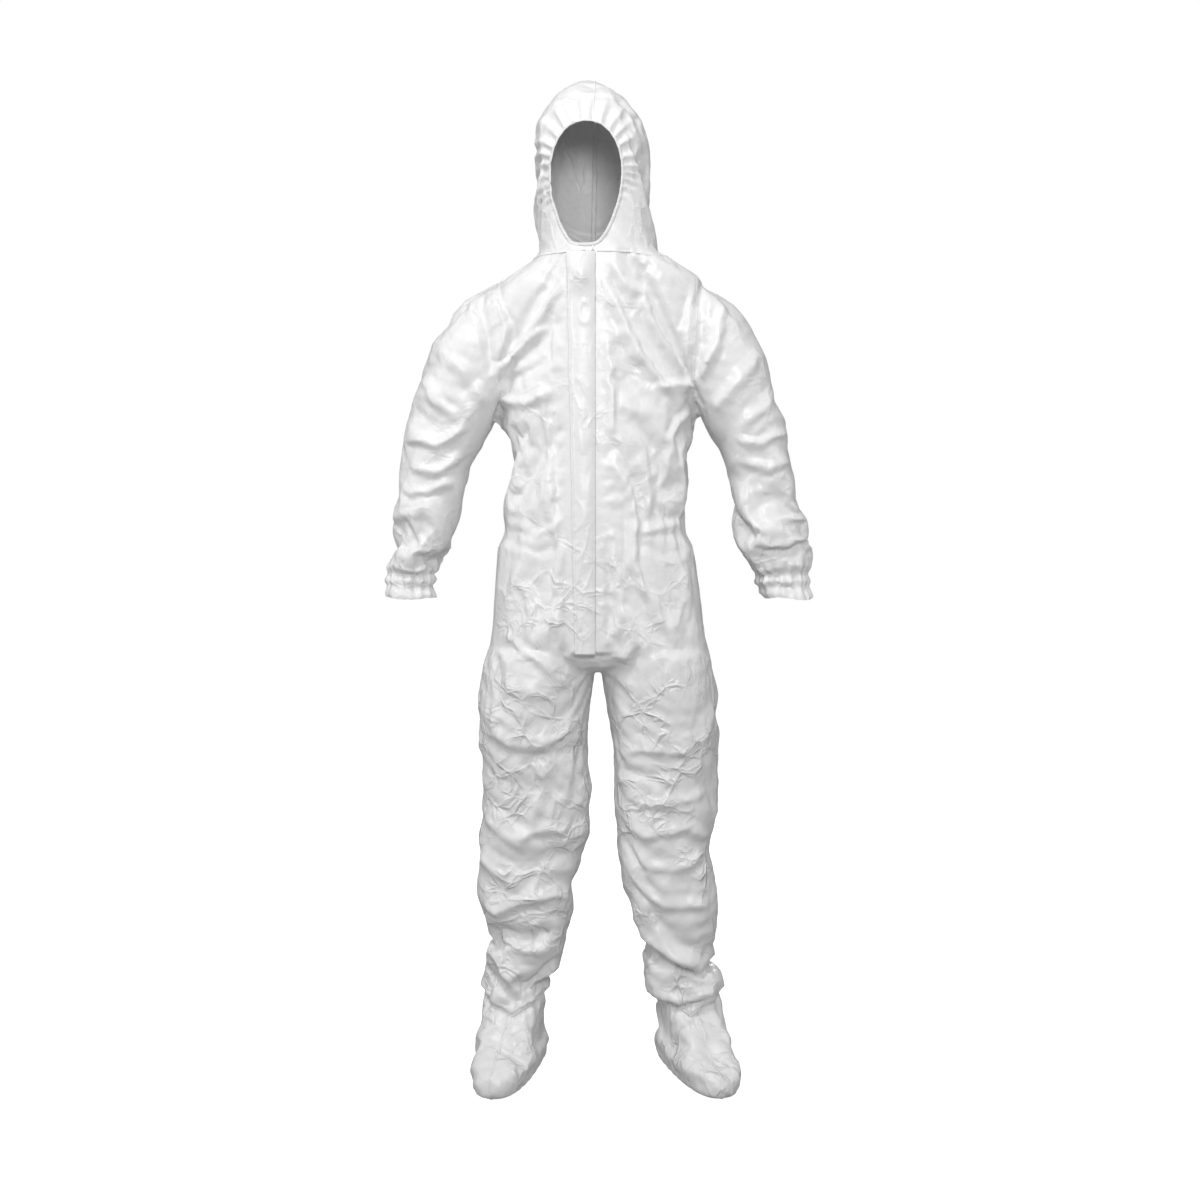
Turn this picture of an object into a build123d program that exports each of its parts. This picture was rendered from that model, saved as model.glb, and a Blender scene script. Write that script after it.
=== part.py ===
from build123d import *
import math
import os
from collections import namedtuple

# Hooded protective coverall with attached boots, standing as if worn.  Millimetres, +Z up.
# The front of the suit faces -Y and the wearer's left is +X.  z = 0 is the floor under the boots.

os.makedirs("parts", exist_ok=True)

WALL = 1.5  # thickness that stands in for the laminate
GAP = 0.3  # clear air between pieces that move apart

# Heights of the seams
BODY_BOTTOM = 768
NECK_SEAM = 1480
CROTCH = 728
THIGH_TOP = 660
KNEE_TOP = 525
KNEE_BOTTOM = 415
ANKLE_SEAM = 125
WAIST = 988

# Zip and storm flap
ZIP_X = -16
ZIP_BOTTOM = 800
ZIP_TOP = 1476
FRONT_Y = -120
COIL_GAP = 0.7
COIL_WIDTH = 3.2
TAPE_WIDTH = 13.1
FLAP_BOTTOM = 770
FLAP_TOP = 1488
FLAP_SEAM_X = -4
FLAP_EDGE_X = -52
FLAP_THICK = 1.2

# Hood
HOOD_X = -8
CHIN = (FRONT_Y, 1481)
NAPE_SLOPE = 24
FACE_X = -20
FACE_BOTTOM = 1496
FACE_TOP = 1716
FACE_WIDTH = 128
BINDING = 6

# Armholes: flat cuts through the sides of the trunk
ARMHOLE_X = 165
ARMHOLE_BOTTOM = 1205
ARMHOLE_TOP = 1437

# Sleeves: shoulder, elbow and cuff of the wearer's left arm in the XZ plane
ELBOW = (297, 1120)
ELBOW_REACH = 50
CUFF_TOP = 920
CUFF_BOTTOM = 864
CUFF_ELASTIC_Z = 898
ELASTIC_WIDTH = 10

# Boots
BOOT_X = 158
BOOT_SPLAY = 11

# One oval of fabric: centre x and z, lean from level in degrees, half widths towards the middle
# and the outside, and depths towards the front and the back
Ring = namedtuple("Ring", "x z lean inner outer front back")


def level(z, half, front, back, x=0):
    """A level ring that is as wide on both sides."""
    return Ring(x, z, 0, half, half, front, back)


TRUNK = [
    level(BODY_BOTTOM, 202, 120, 130),
    level(860, 190, 120, 128),
    level(930, 176, 120, 113),
    level(WAIST, 163, 120, 97),
    level(1060, 165, 120, 102),
    level(1140, 170, 120, 110),
    level(1230, 184, 120, 119),
    level(1330, 194, 120, 122),
    level(1400, 192, 120, 116),
    level(ARMHOLE_TOP, 168, 120, 106),
    level(1460, 136, 120, 98),
    level(NECK_SEAM, 106, 120, 92),
]
HOOD = [
    level(NECK_SEAM + GAP, 106, 120, 92),
    level(1520, 105, 122, 101, -4),
    level(1580, 104, 124, 112, HOOD_X),
    level(1640, 107, 122, 121, HOOD_X),
    level(1690, 104, 111, 119, HOOD_X),
    level(1727, 94, 93, 107, HOOD_X),
    level(1755, 76, 70, 87, HOOD_X),
    level(1776, 55, 48, 64, HOOD_X),
    level(1791, 30, 25, 38, HOOD_X),
    level(1799, 9, 8, 13, HOOD_X),
]
HIP = [
    Ring(3, BODY_BOTTOM - GAP, 0, 2.5, 199, 119, 129),
    Ring(12, 736, 0, 11.5, 197, 116, 124),
    Ring(68, 704, 0, 65, 147, 108, 114),
    Ring(113, THIGH_TOP, 0, 103, 107, 100, 106),
]
THIGH = [
    Ring(115, THIGH_TOP - GAP, 0, 105, 105, 100, 106),
    Ring(121, 595, 0, 100, 100, 92, 100),
    Ring(126, KNEE_TOP, 0, 96, 96, 86, 93),
]
KNEE = [
    Ring(126, KNEE_TOP, 0, 96, 96, 86, 93),
    Ring(129, 470, 0, 92, 92, 84, 89),
    Ring(131, KNEE_BOTTOM, 0, 89, 89, 81, 86),
]
SHIN = [
    Ring(131, KNEE_BOTTOM - GAP, 0, 89, 89, 81, 86),
    Ring(143, 329, 0, 83, 83, 78, 78),
    Ring(150, 232, 0, 67, 67, 68, 66),
    Ring(156, 165, 0, 60, 60, 61, 60),
    Ring(BOOT_X, ANKLE_SEAM, 0, 61, 61, 62, 62),
]
BOOT = [
    level(0, 43, 188, 70),
    level(12, 51, 199, 79),
    level(35, 54, 196, 83),
    level(60, 53, 158, 81),
    level(88, 52, 104, 74),
    level(ANKLE_SEAM, 57, 60, 60),
]
SLEEVE_HEAD = [
    Ring(ARMHOLE_X + GAP, 1331, 90, 100, 100, 62, 62),
    Ring(190, 1328, 84, 98, 98, 72, 72),
    Ring(216, 1311, 72, 92, 92, 80, 80),
    Ring(248, 1266, 50, 69, 69, 74, 74),
]


def along(point, lean, distance):
    """The place so far down a sleeve that hangs at this lean from straight down."""
    turn = math.radians(lean)
    return point[0] + distance * math.sin(turn), point[1] - distance * math.cos(turn)


UPPER_LEAN = 23.5
FORE_LEAN = 12
ELBOW_HIGH = along(ELBOW, UPPER_LEAN, -ELBOW_REACH)
ELBOW_LOW = along(ELBOW, FORE_LEAN, ELBOW_REACH)
SLEEVE_START = along((248, 1266), 50, GAP)
ELBOW_LOW_START = along(ELBOW_LOW, FORE_LEAN, GAP)
UPPER_SLEEVE = [
    Ring(*SLEEVE_START, 50, 69, 69, 74, 74),
    Ring(*ELBOW_HIGH, UPPER_LEAN, 66, 66, 66, 66),
]
ELBOW_PIECE = [
    Ring(*ELBOW_HIGH, UPPER_LEAN, 66, 66, 66, 66),
    Ring(*ELBOW, 18, 64, 64, 63, 63),
    Ring(*ELBOW_LOW, FORE_LEAN, 61, 61, 60, 60),
]
FOREARM = [
    Ring(*ELBOW_LOW_START, FORE_LEAN, 61, 61, 60, 60),
    Ring(321, 1000, FORE_LEAN, 56, 56, 56, 56),
    Ring(338, CUFF_TOP, 0, 45, 45, 47, 47),
]
CUFF = [
    Ring(338, CUFF_TOP, 0, 45, 45, 47, 47),
    Ring(341, CUFF_ELASTIC_Z, 0, 41, 41, 43, 43),
    Ring(343, CUFF_BOTTOM, 0, 46, 46, 47, 47),
]


def filled(rings, inset=0.0):
    """A solid through a run of rings, drawn in by the inset all round."""
    with BuildPart() as body:
        for ring in rings:
            turn = math.radians(ring.lean)
            across = (math.cos(turn), 0, math.sin(turn))
            up = (-math.sin(turn), 0, math.cos(turn))
            with BuildSketch(Plane(origin=(ring.x, 0, ring.z), x_dir=across, z_dir=up)):
                half_depth = (ring.front + ring.back) / 2 - inset
                middle = (0, (ring.back - ring.front) / 2)
                if ring.inner == ring.outer:
                    with Locations(middle):
                        Ellipse(ring.outer - inset, half_depth)
                else:
                    inner = ring.inner - inset
                    with BuildLine():
                        EllipticalCenterArc(middle, ring.outer - inset, half_depth, start_angle=-90, arc_size=180)
                        EllipticalCenterArc(middle, inner, half_depth, start_angle=90, arc_size=180)
                    make_face()
        loft(ruled=True)
    return body.part


def tube(rings, wall=WALL):
    """An open sleeve of fabric through a run of rings."""
    with BuildPart() as sleeve:
        add(filled(rings))
        add(filled(rings, wall), mode=Mode.SUBTRACT)
    return sleeve.part


def save(name, shape):
    """Write one piece, as a single node."""
    with BuildPart() as piece:
        add(shape)
    piece.part.label = name
    export_step(piece.part, f"parts/{name}.step")


def save_pair(name, shape):
    """Write the wearer's left piece and its mirror image for the right."""
    save(f"left_{name}", shape)
    save(f"right_{name}", mirror(shape, about=Plane.YZ))


# Trunk: one shell cut by the armholes, the zip's slot and the side and centre seams
with BuildPart() as trunk:
    add(tube(TRUNK))
    armhole_height = ARMHOLE_TOP - ARMHOLE_BOTTOM
    with Locations([(side * (ARMHOLE_X + 50), 0, ARMHOLE_BOTTOM + armhole_height / 2) for side in (1, -1)]):
        Box(100, 400, armhole_height, mode=Mode.SUBTRACT)

slot_width = 2 * (COIL_GAP + COIL_WIDTH + TAPE_WIDTH)
slot_height = NECK_SEAM - ZIP_BOTTOM + 20
panel_boxes = {
    "left_front_panel": (1, -1),
    "right_front_panel": (-1, -1),
    "left_back_panel": (1, 1),
    "right_back_panel": (-1, 1),
}
for name, (side, back) in panel_boxes.items():
    seam_x = ZIP_X if back < 0 else 0
    with BuildPart() as panel:
        add(trunk.part)
        with Locations((seam_x + side * 200, back * 200, 1150)):
            Box(400, 400, 900, mode=Mode.INTERSECT)
        if back < 0:
            with Locations((ZIP_X, FRONT_Y, ZIP_BOTTOM - 5 + slot_height / 2)):
                Box(slot_width, 40, slot_height, mode=Mode.SUBTRACT)
    save(name, panel.part)

# The elastic gathers the back and sides of the waist, inside the back panels
waist_rings = [
    level(WAIST - ELASTIC_WIDTH / 2, 163, 120, 96),
    level(WAIST + ELASTIC_WIDTH / 2, 163, 120, 96),
]
with BuildPart() as waist_elastic:
    add(filled(waist_rings, WALL + 3))
    add(filled(waist_rings, WALL + 4), mode=Mode.SUBTRACT)
    with Locations((0, 200, WAIST)):
        Box(500, 400, 40, mode=Mode.INTERSECT)
save("waist_elastic", waist_elastic.part)

# Sleeves, from the armhole to the cuff; the sleeve head bends at the shoulder
save_pair("sleeve_head", tube(SLEEVE_HEAD))
save_pair("upper_sleeve", tube(UPPER_SLEEVE))
save_pair("elbow_section", tube(ELBOW_PIECE))
save_pair("forearm_sleeve", tube(FOREARM))
save_pair("cuff", tube(CUFF))

# Two narrow elastics inside each cuff, sewn one above the other
for name, height in {"cuff_elastic_upper": CUFF_ELASTIC_Z + 9, "cuff_elastic_lower": CUFF_ELASTIC_Z - 9}.items():
    elastic_rings = [Ring(341, height + step, 0, 38, 38, 40, 40) for step in (-3, 3)]
    save_pair(name, tube(elastic_rings, 1.0))

# Hips: one section for each leg, open to each other above the crotch
with BuildPart() as hip:
    add(tube(HIP))
    with Locations((0, 0, (CROTCH + BODY_BOTTOM) / 2)):
        Box(36, 190, BODY_BOTTOM - CROTCH, mode=Mode.SUBTRACT)
save_pair("hip_section", hip.part)
save_pair("thigh_section", tube(THIGH))
save_pair("knee_section", tube(KNEE))
save_pair("shin_section", tube(SHIN))

# Boots: an outer and an inner half, sewn along the top, toe and heel
boot_shape = filled(BOOT)
boot_hollow = filled([ring._replace(z=ring.z + WALL) for ring in BOOT], WALL + 0.5)
with BuildPart() as boot:
    add(boot_shape)
    add(boot_hollow, mode=Mode.SUBTRACT)
for name, side in {"boot_outer_half": 1, "boot_inner_half": -1}.items():
    with BuildPart() as half:
        add(boot.part)
        with Locations((side * 100, 0, 60)):
            Box(200, 600, 200, mode=Mode.INTERSECT)
    save_pair(name, Location((BOOT_X, 0, 0), (0, 0, BOOT_SPLAY)) * half.part)

# Hood: two panels on a centre seam, with an egg shaped face opening, above the nape section
hood_filled = filled(HOOD)
hood_hollow = filled([ring._replace(z=ring.z - WALL * (ring.z > 1600)) for ring in HOOD], WALL)
face_height = FACE_TOP - FACE_BOTTOM
face_wide_z = FACE_BOTTOM + 0.62 * face_height


def face_egg(grow):
    """The face opening's outline, drawn outwards by grow, as a bar through the front of the hood."""
    half = FACE_WIDTH / 2 + grow
    with BuildPart() as bar:
        with BuildSketch(Plane.XZ.offset(20)):
            with BuildLine():
                Spline(
                    (FACE_X, FACE_TOP + grow),
                    (FACE_X - half, face_wide_z),
                    (FACE_X + 2, FACE_BOTTOM - grow),
                    (FACE_X + half, face_wide_z),
                    periodic=True,
                )
            make_face()
        extrude(amount=160)
    return bar.part


chin_y, chin_z = CHIN
nape_turn = math.radians(NAPE_SLOPE)
nape_plane = Plane(
    origin=(0, chin_y, chin_z),
    x_dir=(1, 0, 0),
    z_dir=(0, -math.sin(nape_turn), math.cos(nape_turn)),
)
with BuildPart() as hood_shell:
    add(hood_filled)
    add(hood_hollow, mode=Mode.SUBTRACT)
with BuildPart() as hood_upper:
    add(hood_shell.part)
    split(bisect_by=nape_plane.offset(GAP), keep=Keep.TOP)
with BuildPart() as nape:
    add(hood_shell.part)
    split(bisect_by=nape_plane, keep=Keep.BOTTOM)
    add(face_egg(BINDING + 1), mode=Mode.SUBTRACT)
save("nape_section", nape.part)
for name, side in {"left_hood_panel": 1, "right_hood_panel": -1}.items():
    with BuildPart() as hood_panel:
        add(hood_upper.part)
        add(face_egg(BINDING), mode=Mode.SUBTRACT)
        with Locations((HOOD_X + side * 100, 0, 1600)):
            Box(200, 400, 500, mode=Mode.INTERSECT)
    save(name, hood_panel.part)
with BuildPart() as face_binding:
    add(hood_upper.part)
    add(face_egg(BINDING), mode=Mode.INTERSECT)
    add(face_egg(0), mode=Mode.SUBTRACT)
save("face_elastic", face_binding.part)

# Zip: two tapes, two coils, stops, and the slider with its pull
tape_z = (ZIP_BOTTOM + ZIP_TOP) / 2
zip_length = ZIP_TOP - ZIP_BOTTOM
coil_x = COIL_GAP + COIL_WIDTH / 2
tape_x = COIL_GAP + COIL_WIDTH + TAPE_WIDTH / 2
for name, side in {"left": 1, "right": -1}.items():
    with BuildPart() as tape:
        with Locations((ZIP_X + side * tape_x, FRONT_Y + 0.4, tape_z)):
            Box(TAPE_WIDTH, 0.8, zip_length)
    save(f"{name}_zip_tape", tape.part)
    with BuildPart() as coil:
        with Locations((ZIP_X + side * coil_x, FRONT_Y, tape_z)):
            Box(COIL_WIDTH, 2.4, zip_length - 12)
        fillet(coil.edges().filter_by(Axis.Z), 0.8)
    save(f"{name}_zip_coil", coil.part)
with BuildPart() as top_stops:
    with Locations([(ZIP_X + side * coil_x, FRONT_Y, ZIP_TOP - 3.5) for side in (1, -1)]):
        Box(COIL_WIDTH, 2.8, 4)
save("zip_top_stops", top_stops.part)
with BuildPart() as bottom_stop:
    with Locations((ZIP_X, FRONT_Y, ZIP_BOTTOM + 3.5)):
        Box(2 * (COIL_GAP + COIL_WIDTH), 2.8, 4)
save("zip_bottom_stop", bottom_stop.part)

SLIDER_Z = ZIP_TOP - 6 - 1 - 8
SLIDER_LENGTH = 15
PLATE = 1.6
plate_out = FRONT_Y - 1.6 - PLATE
plate_in = FRONT_Y + 1.6
pin_y = plate_out - 2.0
with BuildPart() as slider:
    with Locations((ZIP_X, plate_out + PLATE / 2, SLIDER_Z)):
        Box(10.4, PLATE, SLIDER_LENGTH)
    with Locations((ZIP_X, plate_in + PLATE / 2, SLIDER_Z)):
        Box(10.4, PLATE, SLIDER_LENGTH)
    fillet(slider.edges().filter_by(Axis.Y), 2.2)
    with Locations((ZIP_X, FRONT_Y, SLIDER_Z)):
        Box(0.8, 3.6, SLIDER_LENGTH - 5)
    with Locations([(ZIP_X + side * 4.75, FRONT_Y - 0.95, SLIDER_Z) for side in (1, -1)]):
        Box(0.9, 1.3, SLIDER_LENGTH - 5)
    with Locations([(ZIP_X + side * 2.5, pin_y + 0.6, SLIDER_Z) for side in (1, -1)]):
        Box(0.8, 3.4, 3)
    with Locations(Location((ZIP_X, pin_y, SLIDER_Z), (0, 90, 0))):
        Cylinder(0.6, 4.4)
save("zip_slider", slider.part)

with BuildPart() as pull:
    with Locations(Location((ZIP_X, pin_y, SLIDER_Z), (0, 90, 0))):
        Cylinder(1.5, 3.4)
    with Locations((ZIP_X, pin_y, SLIDER_Z - 3)):
        Box(3.4, 1.0, 5)
    with BuildSketch(Plane.XZ.offset(-pin_y - 0.5)):
        with Locations((ZIP_X, SLIDER_Z - 12)):
            RectangleRounded(6, 15, 2)
        with Locations((ZIP_X, SLIDER_Z - 16)):
            Circle(1.6, mode=Mode.SUBTRACT)
    extrude(amount=1.0)
    with Locations(Location((ZIP_X, pin_y, SLIDER_Z), (0, 90, 0))):
        Cylinder(0.65, 8, mode=Mode.SUBTRACT)
save("zip_pull", pull.part)

# Storm flap: an arched strip over the zip, sewn at one long edge, with an adhesive strip inside
inner_curve = [
    (FLAP_SEAM_X, FRONT_Y - 0.8),
    (-9, FRONT_Y - 9.5),
    (-28, FRONT_Y - 13),
    (-45, FRONT_Y - 8),
    (FLAP_EDGE_X, FRONT_Y - 1.8),
]


def flap_strip(points, thick, bottom, top):
    """A strip of even depth behind a curve, standing between two heights."""
    with BuildPart() as strip:
        with BuildSketch(Plane.XY.offset(bottom)):
            with BuildLine():
                Spline(*points)
                Line(points[-1], (points[-1][0], points[-1][1] - thick))
                Spline(*[(x, y - thick) for x, y in reversed(points)])
                Line((points[0][0], points[0][1] - thick), points[0])
            make_face()
        extrude(amount=top - bottom)
    return strip.part


save("storm_flap", flap_strip(inner_curve, FLAP_THICK, FLAP_BOTTOM, FLAP_TOP))
with BuildPart() as flap_adhesive:
    add(flap_strip([(x, y + 0.6) for x, y in inner_curve], 0.5, FLAP_BOTTOM + 10, FLAP_TOP - 10))
    with Locations((FLAP_EDGE_X + 10, FRONT_Y, 1130)):
        Box(16, 60, 900, mode=Mode.INTERSECT)
save("flap_adhesive_strip", flap_adhesive.part)
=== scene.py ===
import math

import bmesh
import bpy
import numpy as np
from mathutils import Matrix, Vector, noise
from mathutils.bvhtree import BVHTree


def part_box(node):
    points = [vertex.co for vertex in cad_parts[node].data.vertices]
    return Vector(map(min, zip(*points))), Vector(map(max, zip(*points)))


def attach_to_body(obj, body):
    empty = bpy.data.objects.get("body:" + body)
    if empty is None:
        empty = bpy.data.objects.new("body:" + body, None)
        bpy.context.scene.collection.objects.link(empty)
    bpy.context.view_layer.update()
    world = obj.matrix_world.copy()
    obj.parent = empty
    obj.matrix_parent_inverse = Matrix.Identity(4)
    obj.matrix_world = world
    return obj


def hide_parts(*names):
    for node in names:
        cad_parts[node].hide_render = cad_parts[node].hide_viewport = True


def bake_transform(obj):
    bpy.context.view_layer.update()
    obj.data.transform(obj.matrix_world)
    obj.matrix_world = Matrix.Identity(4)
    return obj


# A hooded protective suit of white laminate, standing as if worn.  Metres, +Z up.
# The front faces -Y and the wearer's left is +X.

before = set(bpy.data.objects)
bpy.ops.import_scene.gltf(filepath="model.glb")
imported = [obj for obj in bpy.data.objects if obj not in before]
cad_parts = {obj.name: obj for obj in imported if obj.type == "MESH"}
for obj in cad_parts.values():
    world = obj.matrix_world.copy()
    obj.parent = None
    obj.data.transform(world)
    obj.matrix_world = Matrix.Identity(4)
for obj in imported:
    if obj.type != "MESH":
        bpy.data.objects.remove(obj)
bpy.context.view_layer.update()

VOXEL = 0.0075
NECK = 1.473
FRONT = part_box("left_zip_tape")[0].y  # the straight front line that the zip lies on
ZIP_X = (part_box("zip_slider")[0].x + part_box("zip_slider")[1].x) / 2
ZIP_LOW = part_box("left_zip_tape")[0].z
FACE_LOW, FACE_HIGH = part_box("face_elastic")
FACE_X = (FACE_LOW.x + FACE_HIGH.x) / 2
FACE_Z0, FACE_Z1 = FACE_LOW.z - 0.008, FACE_HIGH.z - 0.024
FACE_HALF = 0.064
FRONT_CLOTH = FRONT - 0.0009  # the cloth beside the zip lies on the zip's tape
FLAP_FREE, FLAP_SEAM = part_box("storm_flap")[0].x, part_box("storm_flap")[1].x
FLAP_LOW, FLAP_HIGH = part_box("storm_flap")[0].z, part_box("storm_flap")[1].z
ARMHOLE = 0.178
ELBOW = (0.297, 1.120)
HIP_SEAM = 0.762
CUFF_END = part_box("left_cuff")[0].z + 0.003
MID_THIGH = 0.600
HOOD_SEAM = -0.008
WAIST, ANKLE = 0.988, 0.122  # where the cloth is gathered
CUFF_SEAM = 0.925
ELBOW_SEAM, ELBOW_ACROSS = (0.285, 1.176), (0.451, 0.893)  # x, z of a point on it, and its normal
BOOTS = {1: (0.169, math.radians(14)), -1: (-0.155, math.radians(-9))}  # side: x, splay
SIDE_NAME = {1: "left", -1: "right"}


# ---------------------------------------------------------------- base shape
def between(table, count):
    """Rows of a table, with smooth rows filled in between them (Catmull-Rom)."""
    rows = np.array(table, float)
    rows = np.vstack([2 * rows[0] - rows[1], rows, 2 * rows[-1] - rows[-2]])
    out = []
    for k in range(1, len(rows) - 2):
        p0, p1, p2, p3 = rows[k - 1:k + 3]
        for step in range(count):
            t = step / count
            out.append(0.5 * (2 * p1 + (p2 - p0) * t + (2 * p0 - 5 * p1 + 4 * p2 - p3) * t * t
                              + (3 * p1 - p0 - 3 * p2 + p3) * t ** 3))
    out.append(rows[-2])
    return np.array(out)


def oval_points(half, front, back, power, count=56):
    turn = np.linspace(0, 2 * math.pi, count, endpoint=False)
    c, s = np.cos(turn), np.sin(turn)
    x = half * np.sign(c) * np.abs(c) ** (2 / power)
    y = np.where(s > 0, back, front) * np.sign(s) * np.abs(s) ** (2 / power)
    return x, y


def closed_tube(rings):
    """Vertices and faces of a capped tube through rings of world points."""
    rings = np.array(rings)
    count = rings.shape[1]
    verts = rings.reshape(-1, 3)
    faces = []
    for r in range(len(rings) - 1):
        for k in range(count):
            n = (k + 1) % count
            faces.append((r * count + k, r * count + n, (r + 1) * count + n, (r + 1) * count + k))
    faces.append(tuple(range(count - 1, -1, -1)))
    faces.append(tuple((len(rings) - 1) * count + k for k in range(count)))
    return verts, faces


def upright(table, power=2.4, fill=4):
    """A tube of level rings.  Rows: z, left x, right x, front depth, back depth."""
    rings = []
    for z, x0, x1, front, back in between(table, fill):
        x, y = oval_points((x1 - x0) / 2, front, back, power)
        rings.append(np.stack([x + (x0 + x1) / 2, y, np.full_like(x, z)], 1))
    return closed_tube(rings)


def sleeve(table, power=2.15, fill=4):
    """A tube square to its own line.  Rows: x, z, half width, half depth."""
    rows = between(table, fill)
    line = rows[:, :2]
    ahead = np.gradient(line, axis=0)
    ahead /= np.linalg.norm(ahead, axis=1)[:, None]
    rings = []
    for (cx, cz, half, deep), (ax, az) in zip(rows, ahead):
        x, y = oval_points(half, deep, deep, power)
        rings.append(np.stack([cx + x * -az, y, cz + x * ax], 1))
    return closed_tube(rings)


def turned(made, turn, x):
    """Points turned about the vertical through x = 0 and moved along X."""
    verts, faces = made
    c, s = math.cos(turn), math.sin(turn)
    out = verts.copy()
    out[:, 0] = verts[:, 0] * c - verts[:, 1] * s + x
    out[:, 1] = verts[:, 0] * s + verts[:, 1] * c
    return out, faces


TRUNK = [
    (0.734, -0.090, 0.090, 0.040, 0.050),
    (0.740, -0.150, 0.150, 0.072, 0.082),
    (0.756, -0.200, 0.205, 0.098, 0.110),
    (0.787, -0.196, 0.203, 0.118, 0.130),
    (0.860, -0.190, 0.191, 0.1195, 0.128),
    (0.930, -0.183, 0.179, 0.1195, 0.113),
    (0.960, -0.180, 0.174, 0.1195, 0.106),
    (0.988, -0.166, 0.157, 0.1195, 0.097),
    (1.040, -0.171, 0.162, 0.1195, 0.103),
    (1.133, -0.157, 0.171, 0.1195, 0.111),
    (1.217, -0.180, 0.177, 0.1195, 0.119),
    (1.330, -0.192, 0.190, 0.1195, 0.122),
    (1.400, -0.198, 0.196, 0.1195, 0.116),
    (1.432, -0.180, 0.196, 0.1195, 0.106),
    (1.452, -0.146, 0.184, 0.1195, 0.099),
    (1.468, -0.116, 0.148, 0.1195, 0.095),
    (1.482, -0.107, 0.108, 0.1195, 0.093),
    (1.500, -0.107, 0.105, 0.1200, 0.096),
]
HOOD = [
    (1.470, -0.108, 0.110, 0.1195, 0.094),
    (1.500, -0.108, 0.105, 0.1205, 0.097),
    (1.546, -0.113, 0.101, 0.1230, 0.108),
    (1.592, -0.1145, 0.095, 0.1240, 0.116),
    (1.640, -0.115, 0.093, 0.1220, 0.121),
    (1.676, -0.115, 0.091, 0.1140, 0.120),
    (1.712, -0.113, 0.082, 0.0990, 0.112),
    (1.733, -0.104, 0.072, 0.0880, 0.103),
    (1.757, -0.088, 0.053, 0.0680, 0.086),
    (1.777, -0.070, 0.032, 0.0460, 0.064),
    (1.791, -0.046, 0.006, 0.0240, 0.038),
    (1.798, -0.028, -0.012, 0.0070, 0.012),
]
RIGHT_LEG = [
    (0.770, -0.203, -0.003, 0.110, 0.120),
    (0.745, -0.209, -0.004, 0.110, 0.120),
    (0.700, -0.218, -0.010, 0.106, 0.113),
    (0.650, -0.220, -0.016, 0.100, 0.105),
    (0.595, -0.216, -0.019, 0.093, 0.100),
    (0.530, -0.212, -0.018, 0.087, 0.094),
    (0.459, -0.220, -0.026, 0.086, 0.090),
    (0.403, -0.223, -0.039, 0.082, 0.087),
    (0.350, -0.226, -0.058, 0.080, 0.082),
    (0.312, -0.224, -0.057, 0.078, 0.078),
    (0.270, -0.208, -0.063, 0.071, 0.071),
    (0.250, -0.200, -0.068, 0.067, 0.067),
    (0.222, -0.212, -0.073, 0.069, 0.068),
    (0.172, -0.210, -0.092, 0.062, 0.061),
    (0.135, -0.212, -0.098, 0.061, 0.061),
    (0.118, -0.205, -0.104, 0.056, 0.056),
]
LEFT_LEG = [
    (0.770, 0.003, 0.207, 0.110, 0.120),
    (0.745, 0.004, 0.212, 0.110, 0.120),
    (0.700, 0.011, 0.220, 0.106, 0.113),
    (0.650, 0.020, 0.222, 0.100, 0.105),
    (0.595, 0.028, 0.226, 0.093, 0.100),
    (0.530, 0.034, 0.228, 0.087, 0.094),
    (0.476, 0.042, 0.224, 0.086, 0.090),
    (0.436, 0.046, 0.216, 0.084, 0.088),
    (0.403, 0.048, 0.216, 0.082, 0.087),
    (0.345, 0.059, 0.228, 0.080, 0.082),
    (0.275, 0.088, 0.226, 0.074, 0.073),
    (0.236, 0.100, 0.222, 0.069, 0.068),
    (0.196, 0.094, 0.219, 0.068, 0.067),
    (0.172, 0.097, 0.229, 0.066, 0.065),
    (0.135, 0.107, 0.229, 0.062, 0.062),
    (0.118, 0.113, 0.221, 0.056, 0.056),
]
RIGHT_ARM = [
    (-0.120, 1.345, 0.080, 0.080),
    (-0.175, 1.335, 0.098, 0.086),
    (-0.229, 1.292, 0.085, 0.082),
    (-0.268, 1.216, 0.076, 0.074),
    (-0.294, 1.150, 0.066, 0.067),
    (-0.308, 1.085, 0.059, 0.062),
    (-0.322, 1.012, 0.056, 0.057),
    (-0.332, 0.955, 0.047, 0.051),
    (-0.337, 0.915, 0.047, 0.047),
    (-0.341, 0.892, 0.042, 0.044),
    (-0.342, 0.864, 0.043, 0.045),
    (-0.343, 0.842, 0.043, 0.045),
]
LEFT_ARM = [
    (0.120, 1.350, 0.080, 0.080),
    (0.175, 1.340, 0.100, 0.086),
    (0.226, 1.292, 0.086, 0.082),
    (0.268, 1.210, 0.068, 0.074),
    (0.291, 1.160, 0.062, 0.067),
    (0.307, 1.102, 0.055, 0.062),
    (0.313, 1.043, 0.059, 0.060),
    (0.322, 0.988, 0.066, 0.063),
    (0.331, 0.940, 0.057, 0.054),
    (0.338, 0.905, 0.050, 0.048),
    (0.343, 0.886, 0.045, 0.045),
    (0.348, 0.864, 0.044, 0.045),
    (0.352, 0.842, 0.044, 0.045),
]
BOOT = [
    (0.000, -0.040, 0.042, 0.184, 0.068),
    (0.006, -0.051, 0.053, 0.200, 0.076),
    (0.018, -0.055, 0.057, 0.203, 0.081),
    (0.040, -0.057, 0.059, 0.196, 0.083),
    (0.060, -0.052, 0.054, 0.160, 0.081),
    (0.084, -0.051, 0.053, 0.112, 0.076),
    (0.104, -0.053, 0.055, 0.078, 0.068),
    (0.126, -0.055, 0.056, 0.060, 0.060),
    (0.140, -0.054, 0.054, 0.058, 0.058),
]


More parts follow.
